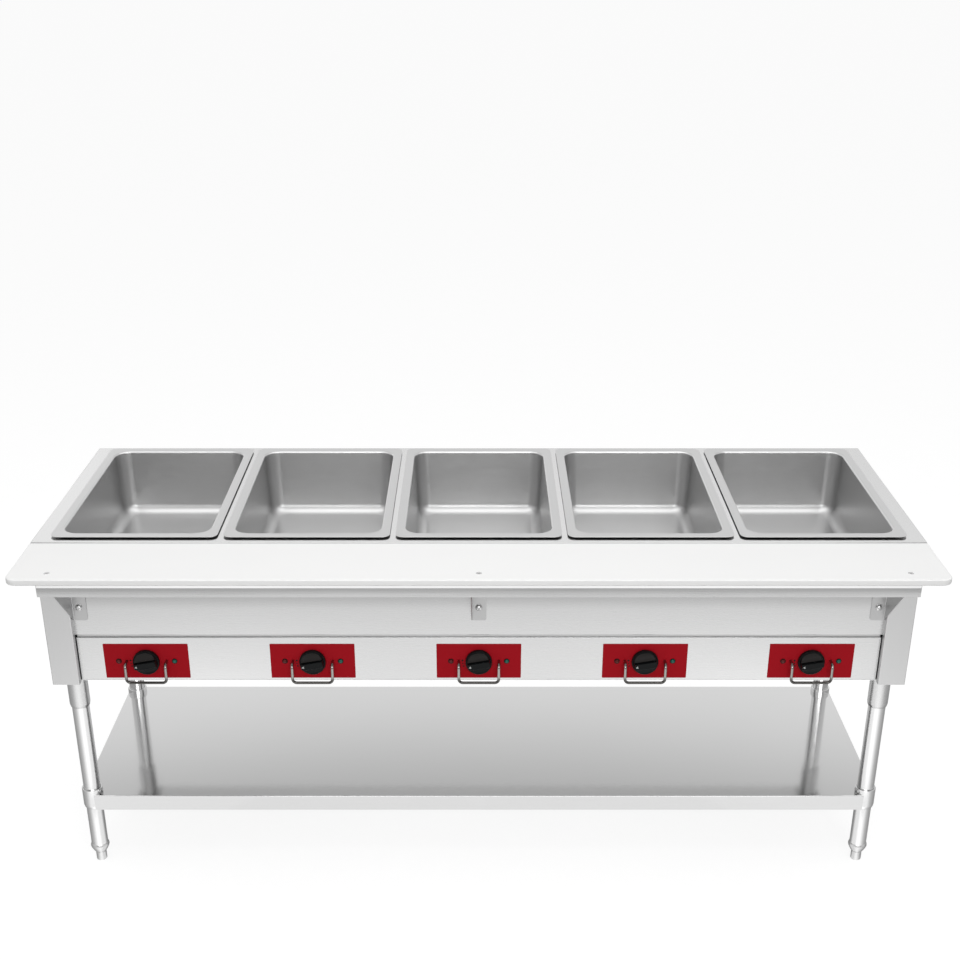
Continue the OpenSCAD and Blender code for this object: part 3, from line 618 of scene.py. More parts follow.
def copy_of(piece, name, offset):
    """A copy with its own mesh, moved within that mesh."""
    activate(piece)
    bpy.ops.object.duplicate(linked=False)
    copy = bpy.context.object
    copy.name = name
    copy.data.name = name
    copy.location = offset
    bpy.ops.object.transform_apply(location=True, rotation=False, scale=False)
    return copy


def one_per_well(piece, stem):
    """The first well's piece and its copies at the other wells."""
    made = [piece]
    for i in WELLS[1:]:
        made.append(copy_of(piece, f"{stem}_{i}", RIGHT * (WELL_X[i - 1] - WELL_X[0])))
    return made


def point(at):
    """Draws one point."""
    bpy.ops.mesh.primitive_plane_add(size=MM, location=at)
    bpy.ops.mesh.merge(type="CENTER")


def block(low, high):
    """Draws a cube between two corners."""
    low, high = Vector(low), Vector(high)
    bpy.ops.mesh.primitive_cube_add(size=1.0, location=(low + high) / 2, scale=high - low)


def rounded_loop(middle, width, depth, radius, segments):
    """Draws a rectangle with round corners."""
    bpy.ops.mesh.primitive_plane_add(size=1.0, location=middle)
    bpy.ops.transform.resize(value=(width, depth, 1.0), center_override=middle)
    if radius > 0:
        bpy.ops.mesh.bevel(offset=radius, segments=segments, affect="VERTICES")


def loft(loops, segments):
    """Draws rounded loops one after another and bridges them; the last one is filled."""
    for middle, width, depth, radius in loops:
        rounded_loop(middle, width, depth, radius, segments)
    everything()
    bpy.ops.mesh.delete(type="ONLY_FACE")
    count = 4 * (segments + 1)
    for k in range(len(loops) - 1):
        bmesh.from_edit_mesh(bpy.context.edit_object.data).verts.index_update()
        pick("EDGE", lambda e: e.verts[0].index // count == e.verts[1].index // count in (k, k + 1))
        bpy.ops.mesh.bridge_edge_loops()
    last = len(loops) - 1
    pick("EDGE", lambda e: e.verts[0].index // count == e.verts[1].index // count == last)
    bpy.ops.mesh.edge_face_add()


ALONG = {"X": RIGHT, "Y": OUT, "Z": UP}
TILT = {"X": (0, math.pi / 2, 0), "Y": (math.pi / 2, 0, 0), "Z": (0, 0, 0)}
ACROSS = {"X": Vector((0, 1, 1)), "Y": Vector((1, 0, 1)), "Z": Vector((1, 1, 0))}


def turn(stations, at, axis="Z", sides=48):
    """Draws a round shape: a circle, extruded and resized to each radius and height."""
    at, along, across = Vector(at), ALONG[axis], ACROSS[axis]
    radius, height = stations[0]
    bpy.ops.mesh.primitive_circle_add(
        vertices=sides, radius=radius, location=at + along * height, rotation=TILT[axis]
    )
    for wide, high in stations[1:]:
        drawn(along * (high - height))
        scale = across * (wide / radius) + Vector((1, 1, 1)) - across
        bpy.ops.transform.resize(value=scale, center_override=at + along * high)
        radius, height = wide, high


def turn_each(stations, places, axis="Z", sides=48):
    """Draws a round shape at each place, from radii and heights in millimetres."""
    for at in places:
        turn([(radius * MM, height * MM) for radius, height in stations], at, axis, sides)


def turned(name, stations, places, axis="Z", sides=48):
    """A piece of like round shapes, one at each place."""
    piece = new_mesh(name)
    turn_each(stations, places, axis, sides)
    close_up()
    return piece


def raised(stations, by):
    """The same radii at heights counted from another level."""
    return [(radius, height + by) for radius, height in stations]


def add_nuts(piece, radius, tail, places, axis="Z"):
    """Joins a hexagon nut to each screw, at its tail."""
    nut = raised([(radius, 0.0), (radius, NUT_HEIGHT)], tail)
    cut_with(piece, lambda: turn_each(nut, places, axis, sides=6), "UNION")


def folded(name, section, run, thickness, fold, facing, segments=3):
    """A folded sheet: its section drawn point by point, pulled out along a run, with rounded folds."""
    piece = new_mesh(name)
    points = [Vector(p) for p in section]
    point(points[0])
    for start, end in zip(points, points[1:]):
        drawn(end - start)
    everything()
    drawn(run)
    way = Vector(run).normalized()
    inner = points[1:-1]

    def is_fold(edge):
        a, b = edge.verts[0].co, edge.verts[1].co
        if abs((b - a).normalized().dot(way)) < 0.99:
            return False
        return any(((a - p) - way * (a - p).dot(way)).length < 0.05 * MM for p in inner)

    if fold > 0:
        round_edges(is_fold, fold, segments)
    first = (points[0] + points[1]) / 2
    face_towards(lambda f: abs((f.calc_center_median() - first).dot(facing)) < 1 * MM, facing)
    thicken(piece, thickness)
    return piece


class BAIN_OT_studio(bpy.types.Operator):
    """Sets the floor, the world, the lamps and the camera"""

    bl_idname = "bain.studio"
    bl_label = "Studio"

    def execute(self, context):
        studio = context.scene.bain_studio
        self.set_floor()
        self.set_world(context.scene)
        over = {"at": (0.0, -0.4, 3.3), "aim": (0.0, 0.1, 0.8), "size": (4.0, 2.6)}
        front = {"at": (0.3, -4.2, 2.3), "aim": (0.0, 0.0, 0.6), "size": (3.0, 1.6)}
        self.set_lamp("overhead_softbox", power=studio.overhead, **over)
        self.set_lamp("front_softbox", power=studio.key, **front)
        bpy.ops.object.camera_add(location=studio.eye, rotation=(studio.tilt, 0.0, 0.0))
        camera = context.object
        camera.name = "photo_camera"
        camera.data.sensor_width = SENSOR_WIDTH
        camera.data.lens = studio.lens
        camera.data.shift_x, camera.data.shift_y = studio.shift
        camera.data.clip_end = CAMERA_REACH
        context.scene.camera = camera
        context.scene.view_settings.view_transform = "Standard"
        return {"FINISHED"}

    def set_floor(self):
        """A matt floor, white to the camera. Mirrors see it dimmer far ahead, and under the table."""
        select_none()
        bpy.ops.mesh.primitive_plane_add(size=FLOOR_SIZE, location=(0, 0, 0))
        floor = bpy.context.object
        floor.name = "floor"
        f = new_finish("pale_floor")
        grain = f.noise(even(14), 2.0)
        matt = f.node("ShaderNodeBsdfDiffuse", None, {"Color": f.mottled(grain, WHITE, 0.30, 0.32)})
        camera, glossy, through = self.rays(f)
        x, y = [f.axis(f.place(), index) for index in range(2)]
        side = x.size()
        # What mirrors see of the floor, by its distance in metres from the table's middle.
        far = f.smooth(y, -1.53, -1.96) * 0.78
        under = f.smooth(y, -0.20, 0.30) * (1.0 - f.smooth(y, 0.55, 0.95) * 0.24) * 0.78
        beside = f.smooth(side, 1.1, 1.7) * f.smooth(y, -1.4, -1.0) * 0.70
        away, round_leg = self.round_legs(f, side, y)
        near_leg = f.smooth(away, 1.02, 0.90)
        lip = f.smooth(y, -0.49, -0.46) * f.smooth(y, -0.33, -0.36)
        open_floor = 1.02 - far - under.most(beside)
        mirrored = (near_leg * round_leg + (1.0 - near_leg) * open_floor).least(1.50 - lip * 0.55)
        seen = camera.most(through)
        level = seen * 0.82 + (1.0 - seen) * (glossy * mirrored + (1.0 - glossy) * 0.08)
        glow = f.node("ShaderNodeEmission", None, {"Color": WHITE, "Strength": level})
        both = f.node("ShaderNodeAddShader", None, {0: matt, 1: glow})
        f.node("ShaderNodeOutputMaterial", None, {"Surface": both})
        floor.data.materials.append(f.owner)

    def round_legs(self, f, side, y):
        """Distance from a front leg's foot, and what the leg mirrors: bright ahead, dim behind."""
        leg_x, leg_y, _ = leg_places()[1]
        spot = f.node("ShaderNodeCombineXYZ", None, {0: side - leg_x, 1: y - leg_y})
        away = f.node("ShaderNodeVectorMath", {"operation": "LENGTH"}, {0: spot}, output=1)
        way = f.node("ShaderNodeVectorMath", {"operation": "NORMALIZE"}, {0: spot})
        ahead, outside = [
            f.node("ShaderNodeVectorMath", {"operation": "DOT_PRODUCT"}, {0: way, 1: axis}, output=1)
            for axis in ((-0.31, -0.95, 0.0), (0.95, -0.31, 0.0))
        ]
        slope = (ahead + 0.05).most(0.0)
        outer = 0.20 + f.smooth(ahead, -0.45, 0.0) * 0.15 + slope * slope * 0.95
        inner = 0.20 + f.smooth(ahead, -0.30, 0.45) * 0.72 + f.smooth(ahead, 0.86, 1.0) * 0.36
        share = f.smooth(outside, -0.10, 0.10)
        return away, share * outer + (1.0 - share) * inner

    def set_world(self, scene):
        """A white surround for the camera. Mirrors see a brighter backdrop, ceiling and wings in it."""
        world = bpy.data.worlds.new("studio_world")
        scene.world = world
        f = Finish(world)
        camera, glossy, through = self.rays(f)
        way = f.node("ShaderNodeTexCoord", output="Generated")
        x, y, z = [f.axis(way, index) for index in range(3)]
        # What mirrors see around the table, by the direction: x to the right, y to the back and z up.
        backdrop = f.smooth(y, -0.35, 0.35) * (1.0 - f.smooth(z, 0.475, 0.565))
        ceiling = f.smooth(z, 0.70, 0.90)
        low = 1.0 - f.smooth(z, 0.42, 0.48)
        ahead = f.smooth(z, 0.31, 0.40)
        sides = f.smooth(x, -0.21, -0.28) * (0.24 - ahead * 0.20) - f.smooth(x, 0.21, 0.28) * 0.04
        rising = 0.20 + ahead * 0.22 + low * (0.18 + sides)
        wings = f.smooth(x.size(), 0.45, 0.75) * (1.0 - f.smooth(z, 0.60, 0.75)) * 0.30
        mirrored = 0.60 + (backdrop * rising).most(ceiling * 0.40).most(wings)
        ambient = 0.45
        seen = camera.most(through)
        level = seen + (1.0 - seen) * (glossy * mirrored + (1.0 - glossy) * ambient)
        shown = f.node("ShaderNodeBackground", None, {"Color": WHITE, "Strength": level})
        f.node("ShaderNodeOutputWorld", None, {"Surface": shown})

    def rays(self, f):
        """Whether a ray comes from the camera, from a mirror or through glass."""
        kinds = ("Camera", "Glossy", "Transmission")
        return [f.node("ShaderNodeLightPath", output=f"Is {kind} Ray") for kind in kinds]

    def set_lamp(self, name, at, aim, size, power):
        """A softbox that faces a point."""
        bpy.ops.object.light_add(type="AREA", location=at)
        lamp = bpy.context.object
        lamp.name = name
        lamp.data.shape = "RECTANGLE"
        lamp.data.size, lamp.data.size_y = size
        lamp.data.energy = power
        lamp.rotation_euler = (Vector(aim) - Vector(at)).to_track_quat("-Z", "Y").to_euler()


class BAIN_OT_inner_parts(bpy.types.Operator):
    """Gives the carried-over nodes their finishes"""

    bl_idname = "bain.inner_parts"
    bl_label = "Inner parts"

    def execute(self, context):
        kept = {
            "sheet": ["rear_panel"],
            # The bottom panel's bright finish is painted light on its shaded underside.
            "under": ["bottom_panel"],
            "zinc": ["well_deck", "element_supports", *[f"well_liner_{i}" for i in WELLS]],
            "heater": [f"heating_element_{i}" for i in WELLS],
            "fitting": ["shelf_screws", *[f"switch_shaft_{i}" for i in WELLS]],
            "cream": ["heat_switches", "terminal_block"],
            "cable": ["wiring_loom"],
            "black": ["cable_gland"],
        }
        for finish, nodes in kept.items():
            for name in nodes:
                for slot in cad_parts[name].material_slots:
                    slot.material = FINISH[finish]
        return {"FINISHED"}


class BAIN_OT_pans(bpy.types.Operator):
    """Models the lift-out pans: rolled rim, leaning walls, round corners and floor"""

    bl_idname = "bain.pans"
    bl_label = "Lift-out pans"

    def execute(self, context):
        size = context.scene.bain_pans
        low, high = box("well_pan_1")
        middle = (low + high) / 2
        width, depth = high.x - low.x, high.y - low.y
        floor = low.z + size.sheet
        loops = []

        def loop(side, end, z, radius):
            """Adds a level, set in from the rim's outline."""
            loops.append(((middle.x, middle.y, z), width - 2 * side, depth - 2 * end, radius))

        roll = size.roll
        for turn_by in (270, 225, 180, 135, 90):
            side = roll - roll * math.cos(math.radians(turn_by - 180))
            rise = roll * math.sin(math.radians(turn_by))
            loop(side, side, high.z - roll + rise, size.rim_corner - side)
        bend = size.mouth_bend
        for turn_by in (0, 30, 60, 90):
            back = bend * (1 - math.sin(math.radians(turn_by)))
            drop = bend * (1 - math.cos(math.radians(turn_by)))
            fall = size.rim_fall + drop
            loop(size.side_rim - back, size.end_rim - back, high.z - fall, size.corner + back)
        deep = high.z - floor
        knee = size.lean * (deep - size.floor_bend) / deep
        for turn_by in (0, 15, 30, 45, 60, 75, 90):
            inset = knee + size.floor_bend * (1 - math.cos(math.radians(turn_by)))
            drop = deep - size.floor_bend * (1 - math.sin(math.radians(turn_by)))
            loop(size.side_rim + inset, size.end_rim + inset, high.z - drop, size.corner - 0.5 * inset)
        piece = new_mesh("lift_out_pan_1")
        loft(loops, 8)
        face_towards(lambda f: lies(f, 2, floor), UP)
        thicken(piece, size.sheet)
        for i, pan in zip(WELLS, one_per_well(piece, "lift_out_pan")):
            settle(pan, "pan", f"pan_{i}", "pan_steel", f"well_pan_{i}", smooth=50)
        return {"FINISHED"}


class BAIN_OT_steel_top(bpy.types.Operator):
    """Models the steel top: openings, turned-down edges and the ledge under the board"""

    bl_idname = "bain.steel_top"
    bl_label = "Steel top"

    def execute(self, context):
        size = context.scene.bain_sheets
        low, high = box("top_panel")
        joint = HIGH["cutting_board"].y + BOARD_JOINT
        ledge = LOW["cutting_board"].z
        piece = new_mesh("steel_top")
        middle = ((low.x + high.x) / 2, (joint + high.y) / 2, high.z)
        rounded_loop(middle, high.x - low.x, high.y - joint, 0.0, 1)
        for i in WELLS:
            liner_low, liner_high = box(f"well_liner_{i}")
            at = (liner_low + liner_high) / 2
            margin = 2 * size.well_margin
            opening = liner_high - liner_low
            rounded_loop(
                (at.x, at.y, high.z), opening.x - margin, opening.y - margin, size.well_corner, 6
            )
        everything()
        bpy.ops.mesh.delete(type="ONLY_FACE")
        everything()
        bpy.ops.mesh.fill(use_beauty=True)

        def on_line(edge, axis, value):
            return lies(edge, axis, value) and lies(edge, 2, high.z)

        def at_end(edge):
            return on_line(edge, 0, low.x) or on_line(edge, 0, high.x) or on_line(edge, 1, high.y)

        pick("EDGE", at_end)
        drawn(-UP * (high.z - low.z))
        pick("EDGE", lambda e: on_line(e, 1, joint))
        drawn(-UP * (high.z - ledge))
        drawn(OUT * (joint - low.y))
        round_edges(lambda e: at_end(e) or on_line(e, 1, joint), size.fold)
        face_towards(lambda f: lies(f, 2, high.z), UP)
        thicken(piece, size.top_sheet)
        settle(piece, "top", "frame", "stainless", "top_panel")
        return {"FINISHED"}


class BAIN_OT_board(bpy.types.Operator):
    """Models the white board with round edges, its countersunk screws and the strip in its joint"""

    bl_idname = "bain.board"
    bl_label = "Board and screws"

    def execute(self, context):
        size = context.scene.bain_sheets
        low, high = LOW["cutting_board"], HIGH["cutting_board"] + OUT * size.board_gap
        piece = new_mesh("white_board")
        block(low, high)

        def upright(edge):
            a, b = edge.verts[0].co, edge.verts[1].co
            return near(a.x, b.x) and near(a.y, b.y) and near(a.y, low.y)

        round_edges(upright, size.board_corner, 6)
        round_edges(
            lambda e: near(e.verts[0].co.z, e.verts[1].co.z) and not lies(e, 1, high.y), size.board_edge
        )
        screws_low, screws_high = box("board_screws")
        head = 6 * MM
        y = (screws_low.y + screws_high.y) / 2
        half = (screws_high.x - screws_low.x) / 2 - head
        heads = [(x, y, high.z) for x in (-half, 0.0, half)]
        hole = [(3.3, -20.0), (3.3, -3.2), (6.3, -0.1), (6.3, 2.0)]
        cut_with(piece, lambda: turn_each(hole, heads, sides=32))
        settle(piece, "board", "frame", "board_plastic", "cutting_board")
        tail = (screws_low.z - high.z) / MM
        screw = [(3.0, tail), (3.0, -3.1), (5.9, -0.2), (5.7, 0.0), (2.6, 0.0), (2.2, -1.8)]
        screws = turned("board_screw_set", screw, heads, sides=32)
        add_nuts(screws, 5.4, tail, heads)
        settle(screws, "fitting", "frame", "fasteners", "board_screws")
        self.lay_dark_joint_strip(low, high, size)
        return {"FINISHED"}

    def lay_dark_joint_strip(self, low, high, size):
        """A dark strip sunk in the joint behind the board: painted shade, standing for the shadow in the
        gap.
        """
        sunk, short, slack, edge = 0.5 * MM, 2 * MM, 0.3 * MM, 0.5 * MM
        top, back = high.z - sunk, high.y + size.board_gap - slack
        piece = new_mesh("joint_shade_strip")
        block((low.x + short, high.y + slack, low.z + MM), (high.x - short, back, top))
        round_edges(lambda e: lies(e, 2, top), edge, 2)
        settle(piece, "cable", "frame", "cable")


class BAIN_OT_board_support(bpy.types.Operator):
    """Folds the rail under the board with its hem, and the gusset brackets with their bolts"""

    bl_idname = "bain.board_support"
    bl_label = "Rail and brackets"

    def execute(self, context):
        size = context.scene.bain_sheets
        low, high = box("board_rail")
        section = [(low.x, high.y, high.z), (low.x, low.y, high.z), (low.x, low.y, low.z)]
        run = RIGHT * (high.x - low.x)
        rail = folded("front_rail", section, run, size.top_sheet, size.fold, UP)
        # The rail's finish carries painted shade along its top, under the board.
        settle(rail, "rail", "frame", "stainless", "board_rail")
        self.hem(low, high)
        for name, side in BRACKETS.items():
            piece = self.gusset(f"gusset_{name}", f"{name}_bracket", side, size)
            # The brackets' darker finish is painted shade under the board.
            settle(piece, "dull", "frame", "stainless", f"{name}_bracket")
        self.bolts(size)
        return {"FINISHED"}

    def hem(self, low, high):
        """The bright hem along the rail's face, just in sight under the board, leaning out at its top; its
        brightness is partly the floor it mirrors and partly a painted highlight in its tint.
        """
        thick, tall, short, lean, edge = 1.6 * MM, 7 * MM, 1 * MM, 1 * MM, 0.3 * MM
        front, foot = low.y - thick, low.z + 19.7 * MM
        piece = new_mesh("rail_highlight_hem")
        block((low.x + short, front, foot), (high.x - short, low.y, foot + tall))
        pick("VERT", lambda v: near(v.co.y, front) and near(v.co.z, foot))
        bpy.ops.transform.translate(value=-OUT * lean)
        round_edges(lambda e: all(v.co.y < low.y - edge for v in e.verts), edge, 2)
        settle(piece, "hem", "frame", "stainless")

    def gusset(self, name, node, side, size):
        """A bracket bent from one sheet: an upright tab, a roof and a sloping web at one side."""
        low, high = box(node)
        sheet, tab_corner, bend, sharp = size.bracket_sheet, 4 * MM, 1.5 * MM, 1.0
        web = low.x + sheet if side < 0 else high.x - sheet
        free = high.x if side < 0 else low.x
        tab_y, roof, foot = high.y - sheet, high.z - sheet, low.z
        slope = roof - foot
        piece = new_mesh(name)
        point((free, tab_y, foot))
        drawn(RIGHT * (web - free))
        everything()
        drawn(UP * slope)
        pick("EDGE", lambda e: lies(e, 0, web))
        drawn(OUT * slope)
        pick("VERT", lambda v: near(v.co.z, foot) and v.co.y < tab_y - MM)
        bpy.ops.transform.translate(value=-OUT * slope)
        pick("EDGE", lambda e: lies(e, 2, roof) and lies(e, 1, tab_y))
        drawn(OUT * slope)
        drawn(OUT * (tab_y - slope - low.y))
        everything()
        bpy.ops.mesh.remove_doubles(threshold=CLOSE)
        pick("VERT", lambda v: near(v.co.x, free) and near(v.co.z, foot))
        bpy.ops.mesh.bevel(offset=tab_corner, segments=4, affect="VERTICES")
        round_edges(lambda e: len(e.link_faces) == 2 and e.calc_face_angle(0) > sharp, bend)
        face_towards(lambda f: abs(f.normal.y) > 0.9, OUT)
        thicken(piece, sheet, even=False)
        return piece

    def bolts(self, size):
        """The dome-headed bolts through the brackets' tabs, with their nuts."""
        low, high = box("bracket_bolts")
        shank, head = 4.0, 7.2
        tab_y = HIGH["left_bracket"].y - size.bracket_sheet
        rows = (low.z + head * MM, high.z - head * MM)
        columns = [middle_x(f"{name}_bracket") for name in BRACKETS]
        heads = [(x, tab_y, z) for x in columns for z in rows]
        tail = (tab_y - high.y) / MM
        bolt = [(shank, tail), (shank, 0.0), (head, 0.0), (head, 1.2), (6.6, 2.8), (5.2, 4.2), (3.4, 5.0)]
        bolt += [(2.6, 5.0), (2.2, 3.2)]
        piece = turned("bracket_bolt_set", bolt, heads, "Y", 32)
        add_nuts(piece, head, tail, heads, "Y")
        settle(piece, "fitting", "frame", "fasteners", "bracket_bolts")


class BAIN_OT_body_panels(bpy.types.Operator):
    """Folds the end panels, the apron and the switch panel, and lays the strip in their seam"""

    bl_idname = "bain.body_panels"
    bl_label = "Body panels"

    def execute(self, context):
        size = context.scene.bain_sheets
        apron_low, apron_high = box("front_apron")
        for side, name in ((-1, "left"), (1, "right")):
            low, high = box(f"{name}_end_panel")
            outer, inner = (low.x, high.x) if side < 0 else (high.x, low.x)
            back = high.y - size.sheet
            section = [
                (outer - side * size.rear_flange, back, low.z),
                (outer, back, low.z),
                (outer, low.y, low.z),
                (inner, low.y, low.z),
                (inner, apron_low.y, low.z),
            ]
            panel = folded(f"{name}_end", section, UP * (high.z - low.z), size.sheet, size.fold, -OUT)
            settle(panel, "side", "frame", "stainless", f"{name}_end_panel")
        low, high = apron_low, apron_high
        section = [(low.x, low.y, high.z), (low.x, low.y, low.z), (low.x, high.y, low.z)]
        apron = folded("upper_apron", section, RIGHT * (high.x - low.x), size.sheet, size.fold, OUT)
        # The apron's finish carries painted shade along its top, under the rail and the board.
        settle(apron, "apron", "frame", "stainless", "front_apron")
        low, high = box("control_panel")
        reach = 1 * MM
        left, brow = low.x - reach, high.z - size.seam
        section = [(left, high.y, brow), (left, low.y, brow), (left, low.y, low.z), (left, high.y, low.z)]
        run = RIGHT * (high.x - low.x + 2 * reach)
        panel = folded("switch_panel", section, run, size.sheet, 0.6 * size.fold, UP)
        cut_with(panel, lambda: switch_holes(context.scene.bain_controls))
        settle(panel, "sheet", "frame", "stainless", "control_panel")
        self.seam((low.x, low.y, brow), (high.x, low.y, apron_low.z))
        return {"FINISHED"}

    def seam(self, low, high):
        """The strip behind the seam between the apron and the switch panel, in a darker finish: painted
        shade in the seam.
        """
        sunk, thick, edge = 3 * MM, 4 * MM, 0.8 * MM
        front = low[1] + sunk
        piece = new_mesh("seam_strip")
        block((low[0], front, low[2]), (high[0], front + thick, high[2]))
        round_edges(lambda e: lies(e, 1, front), edge, 2)
        settle(piece, "dull", "frame", "stainless")


def guard_reach(size):
    """How far a guard's legs come out of the panel, left and right of its knob."""
    return HIGH["knob_guards"].x - WELL_X[-1] - size.wire


def lamp_reach(size):
    """How far the lamps stand left and right of their knob."""
    return HIGH["heat_lamps"].x - WELL_X[-1] - size.ring


def switch_holes(size):
    """Draws the drills for the switch bushes, lamps and guards."""
    bush, slack, deep = 5.3 * MM, 0.3 * MM, 6 * MM
    spots = [(0.0, bush)]
    spots += [(side * lamp_reach(size), size.lamp + slack) for side in (-1, 1)]
    spots += [(side * guard_reach(size), size.wire + slack) for side in (-1, 1)]
    for x in WELL_X:
        for shift, radius in spots:
            turn([(radius, -deep), (radius, deep)], (x + shift, PLATE_Y, KNOB_Z), "Y", 24)


class BAIN_OT_switch_plates(bpy.types.Operator):
    """Models the red plates and the dots printed beside the knobs"""

    bl_idname = "bain.switch_plates"
    bl_label = "Switch plates"

    def execute(self, context):
        low, high = box("switch_plates")
        corner, edge = 1.5 * MM, 0.4 * MM
        half = (high.x - low.x) / 2 - WELL_X[-1]
        piece = new_mesh("red_plates")
        for x in WELL_X:
            block((x - half, low.y, low.z), (x + half, high.y, high.z))

        def is_corner(e):
            return abs((e.verts[1].co - e.verts[0].co).normalized().y) > 0.9

        round_edges(is_corner, corner, 3)
        round_edges(lambda e: lies(e, 1, low.y), edge, 2)
        cut_with(piece, lambda: switch_holes(context.scene.bain_controls))
        settle(piece, "plate", "frame", "plate_red", "switch_plates")
        self.dots(low.y)
        return {"FINISHED"}

    def dots(self, front):
        """The dots left of each knob, by their angles round it and their radii."""
        reach, sunk, proud = 35 * MM, -0.1, 0.15
        piece = new_mesh("dial_dots")
        for x in WELL_X:
            for degrees, radius in ((178, 2.1), (189, 1.4), (200, 1.7)):
                way = math.radians(degrees)
                at = (x + reach * math.cos(way), front, KNOB_Z + reach * math.sin(way))
                turn_each([(radius, sunk), (radius, proud)], [at], "Y", 16)
        close_up()
        settle(piece, "black", "frame", "knob_black")


class BAIN_OT_knobs(bpy.types.Operator):
    """Models the knobs: round skirt, bar grip and white mark"""

    bl_idname = "bain.knobs"
    bl_label = "Knobs"

    def execute(self, context):
        size = context.scene.bain_controls
        low, high = box("knob_1")
        radius = (high.z - low.z) / 2 / MM
        skirt, tall = size.skirt / MM, (high.y - low.y) / MM
        at = Vector((WELL_X[0], high.y, KNOB_Z))
        bore, bore_deep, print_high = size.bore / MM, 14.3, 0.2
        face = tall - print_high
        stations = [(bore, bore_deep), (bore, 0.0), (radius - 0.6, 0.0), (radius, 0.6)]
        stations += [(radius, skirt - 2.4), (radius - 0.5, skirt - 1.0), (radius - 1.8, skirt)]
        stations += [(radius - 2.6, skirt)]
        stations += [(radius - 3.2, skirt + 1.0), (radius - 3.8, skirt + 6.0), (radius - 4.2, face - 2.8)]
        stations += [(radius - 4.8, face - 1.0), (radius - 5.8, face - 0.2), (radius - 7.0, face)]
        knob = turned("black_knob_1", stations, [at], "Y", 64)
        cut_with(knob, lambda: self.scoops(at, size, skirt, tall))
        cut_with(knob, lambda: self.slit(at, size, tall))
        knobs = one_per_well(knob, "black_knob")
        marks = one_per_well(self.mark(at, size, face, tall), "knob_mark")
        for i, knob, mark in zip(WELLS, knobs, marks):
            settle(knob, "black", f"dial_{i}", "knob_black", f"knob_{i}")
            self.paint_light_on_upper_hollow(knob, at + RIGHT * (WELL_X[i - 1] - WELL_X[0]), size, skirt, tall)
            settle(mark, "print", f"dial_{i}", "knob_black")
        return {"FINISHED"}

    def to_rest(self, at, size):
        """Turns what is drawn to the grip's place at rest."""
        everything()
        bpy.ops.transform.rotate(value=size.rest, orient_axis="Y", center_override=at)

    def hollow(self, size, skirt, tall):
        """Radius of the hollows, their axes' height above the plate and their distance from the middle."""
        deep, over = (tall - skirt) * MM, 1.5
        return deep, (tall + over) * MM, size.grip / 2 + deep

    def slit_edges(self, size):
        """How far the slit's near and far edge lie from the knob's middle."""
        return size.grip / 2 + 0.4 * MM, size.grip / 2 + 2.4 * MM

    def paint_light_on_upper_hollow(self, knob, at, size, skirt, tall):
        """Gives the hollow above the grip, outside the slit, a matt finish in a lighter colour: painted
        light from above, while the hollow below stays black.
        """
        deep, high, apart = self.hollow(size, skirt, tall)
        _, slit_end = self.slit_edges(size)
        across = Vector((-math.sin(size.rest), 0, math.cos(size.rest)))
        chord = 0.1 * MM

        def inside(face):
            spot = face.calc_center_median() - at
            aside = -spot.dot(across)
            on_curve = abs(math.hypot(aside - apart, spot.dot(OUT) - high) - deep) < chord
            return on_curve and aside > slit_end

        knob.data.materials.append(FINISH["hollow"])
        reopen(knob)
        pick("FACE", inside)
        knob.active_material_index = 1
        bpy.ops.object.material_slot_assign()
        leave_edit()

    def scoops(self, at, size, skirt, tall):
        """Draws the two hollows that leave a grip across the knob."""
        deep, high, apart = self.hollow(size, skirt, tall)
        reach = 40 * MM
        for side in (-1, 1):
            turn([(deep, -reach), (deep, reach)], at + OUT * high + UP * side * apart, "X", 64)
        self.to_rest(at, size)

    def slit(self, at, size, tall):
        """Draws the slit along the grip's upper edge."""
        near_edge, far_edge = self.slit_edges(size)
        reach, bottom, over = 40 * MM, 11 * MM, 1.0
        top = at.y - (tall + over) * MM
        block((at.x - reach, top, at.z - far_edge), (at.x + reach, at.y - bottom, at.z - near_edge))
        self.to_rest(at, size)

    def mark(self, at, size, face, tall):
        """The white wedge at the end of the grip, pointing outwards."""
        piece = new_mesh("knob_mark_1")
        reach, wedge, sunk = 18.6 * MM, 3.4 * MM, 0.4
        spot = at + RIGHT * reach + OUT * (face - sunk) * MM
        bpy.ops.mesh.primitive_circle_add(
            vertices=3, radius=wedge, fill_type="NGON", location=spot, rotation=TILT["Y"]
        )
        drawn(OUT * (tall - face + sunk) * MM)
        everything()
        bpy.ops.transform.rotate(value=-math.pi / 2, orient_axis="Y", center_override=spot)
        self.to_rest(at, size)
        close_up()
        return piece


class BAIN_OT_lamps(bpy.types.Operator):
    """Turns the pilot lamps and their rings"""

    bl_idname = "bain.lamps"
    bl_label = "Pilot lamps"

    def execute(self, context):
        size = context.scene.bain_controls
        radius, rim = size.lamp / MM, size.ring / MM
        back = (PLATE_Y - HIGH["heat_lamps"].y) / MM
        lens = [(radius, back), (radius, 1.4), (radius - 0.5, 2.6), (radius - 1.6, 3.7), (radius - 3.2, 4.4)]
        ring = [(radius, 0.0), (rim, 0.0), (rim, 1.0), (rim - 0.4, 1.5), (radius, 1.5), (radius, 0.0)]
        rings = []
        for side, name, tint in ((-1, "power_lamps", "red"), (1, "heat_lamps", "green")):
            places = [(x + side * lamp_reach(size), PLATE_Y, KNOB_Z) for x in WELL_X]
            piece = turned(f"{name}_lens", lens, places, "Y", 32)
            settle(piece, f"{tint}_lens", "frame", f"lamp_{tint}", name)
            rings += places
        piece = turned("lamp_rings", ring, rings, "Y", 32)
        settle(piece, "black", "frame", "knob_black")
        return {"FINISHED"}


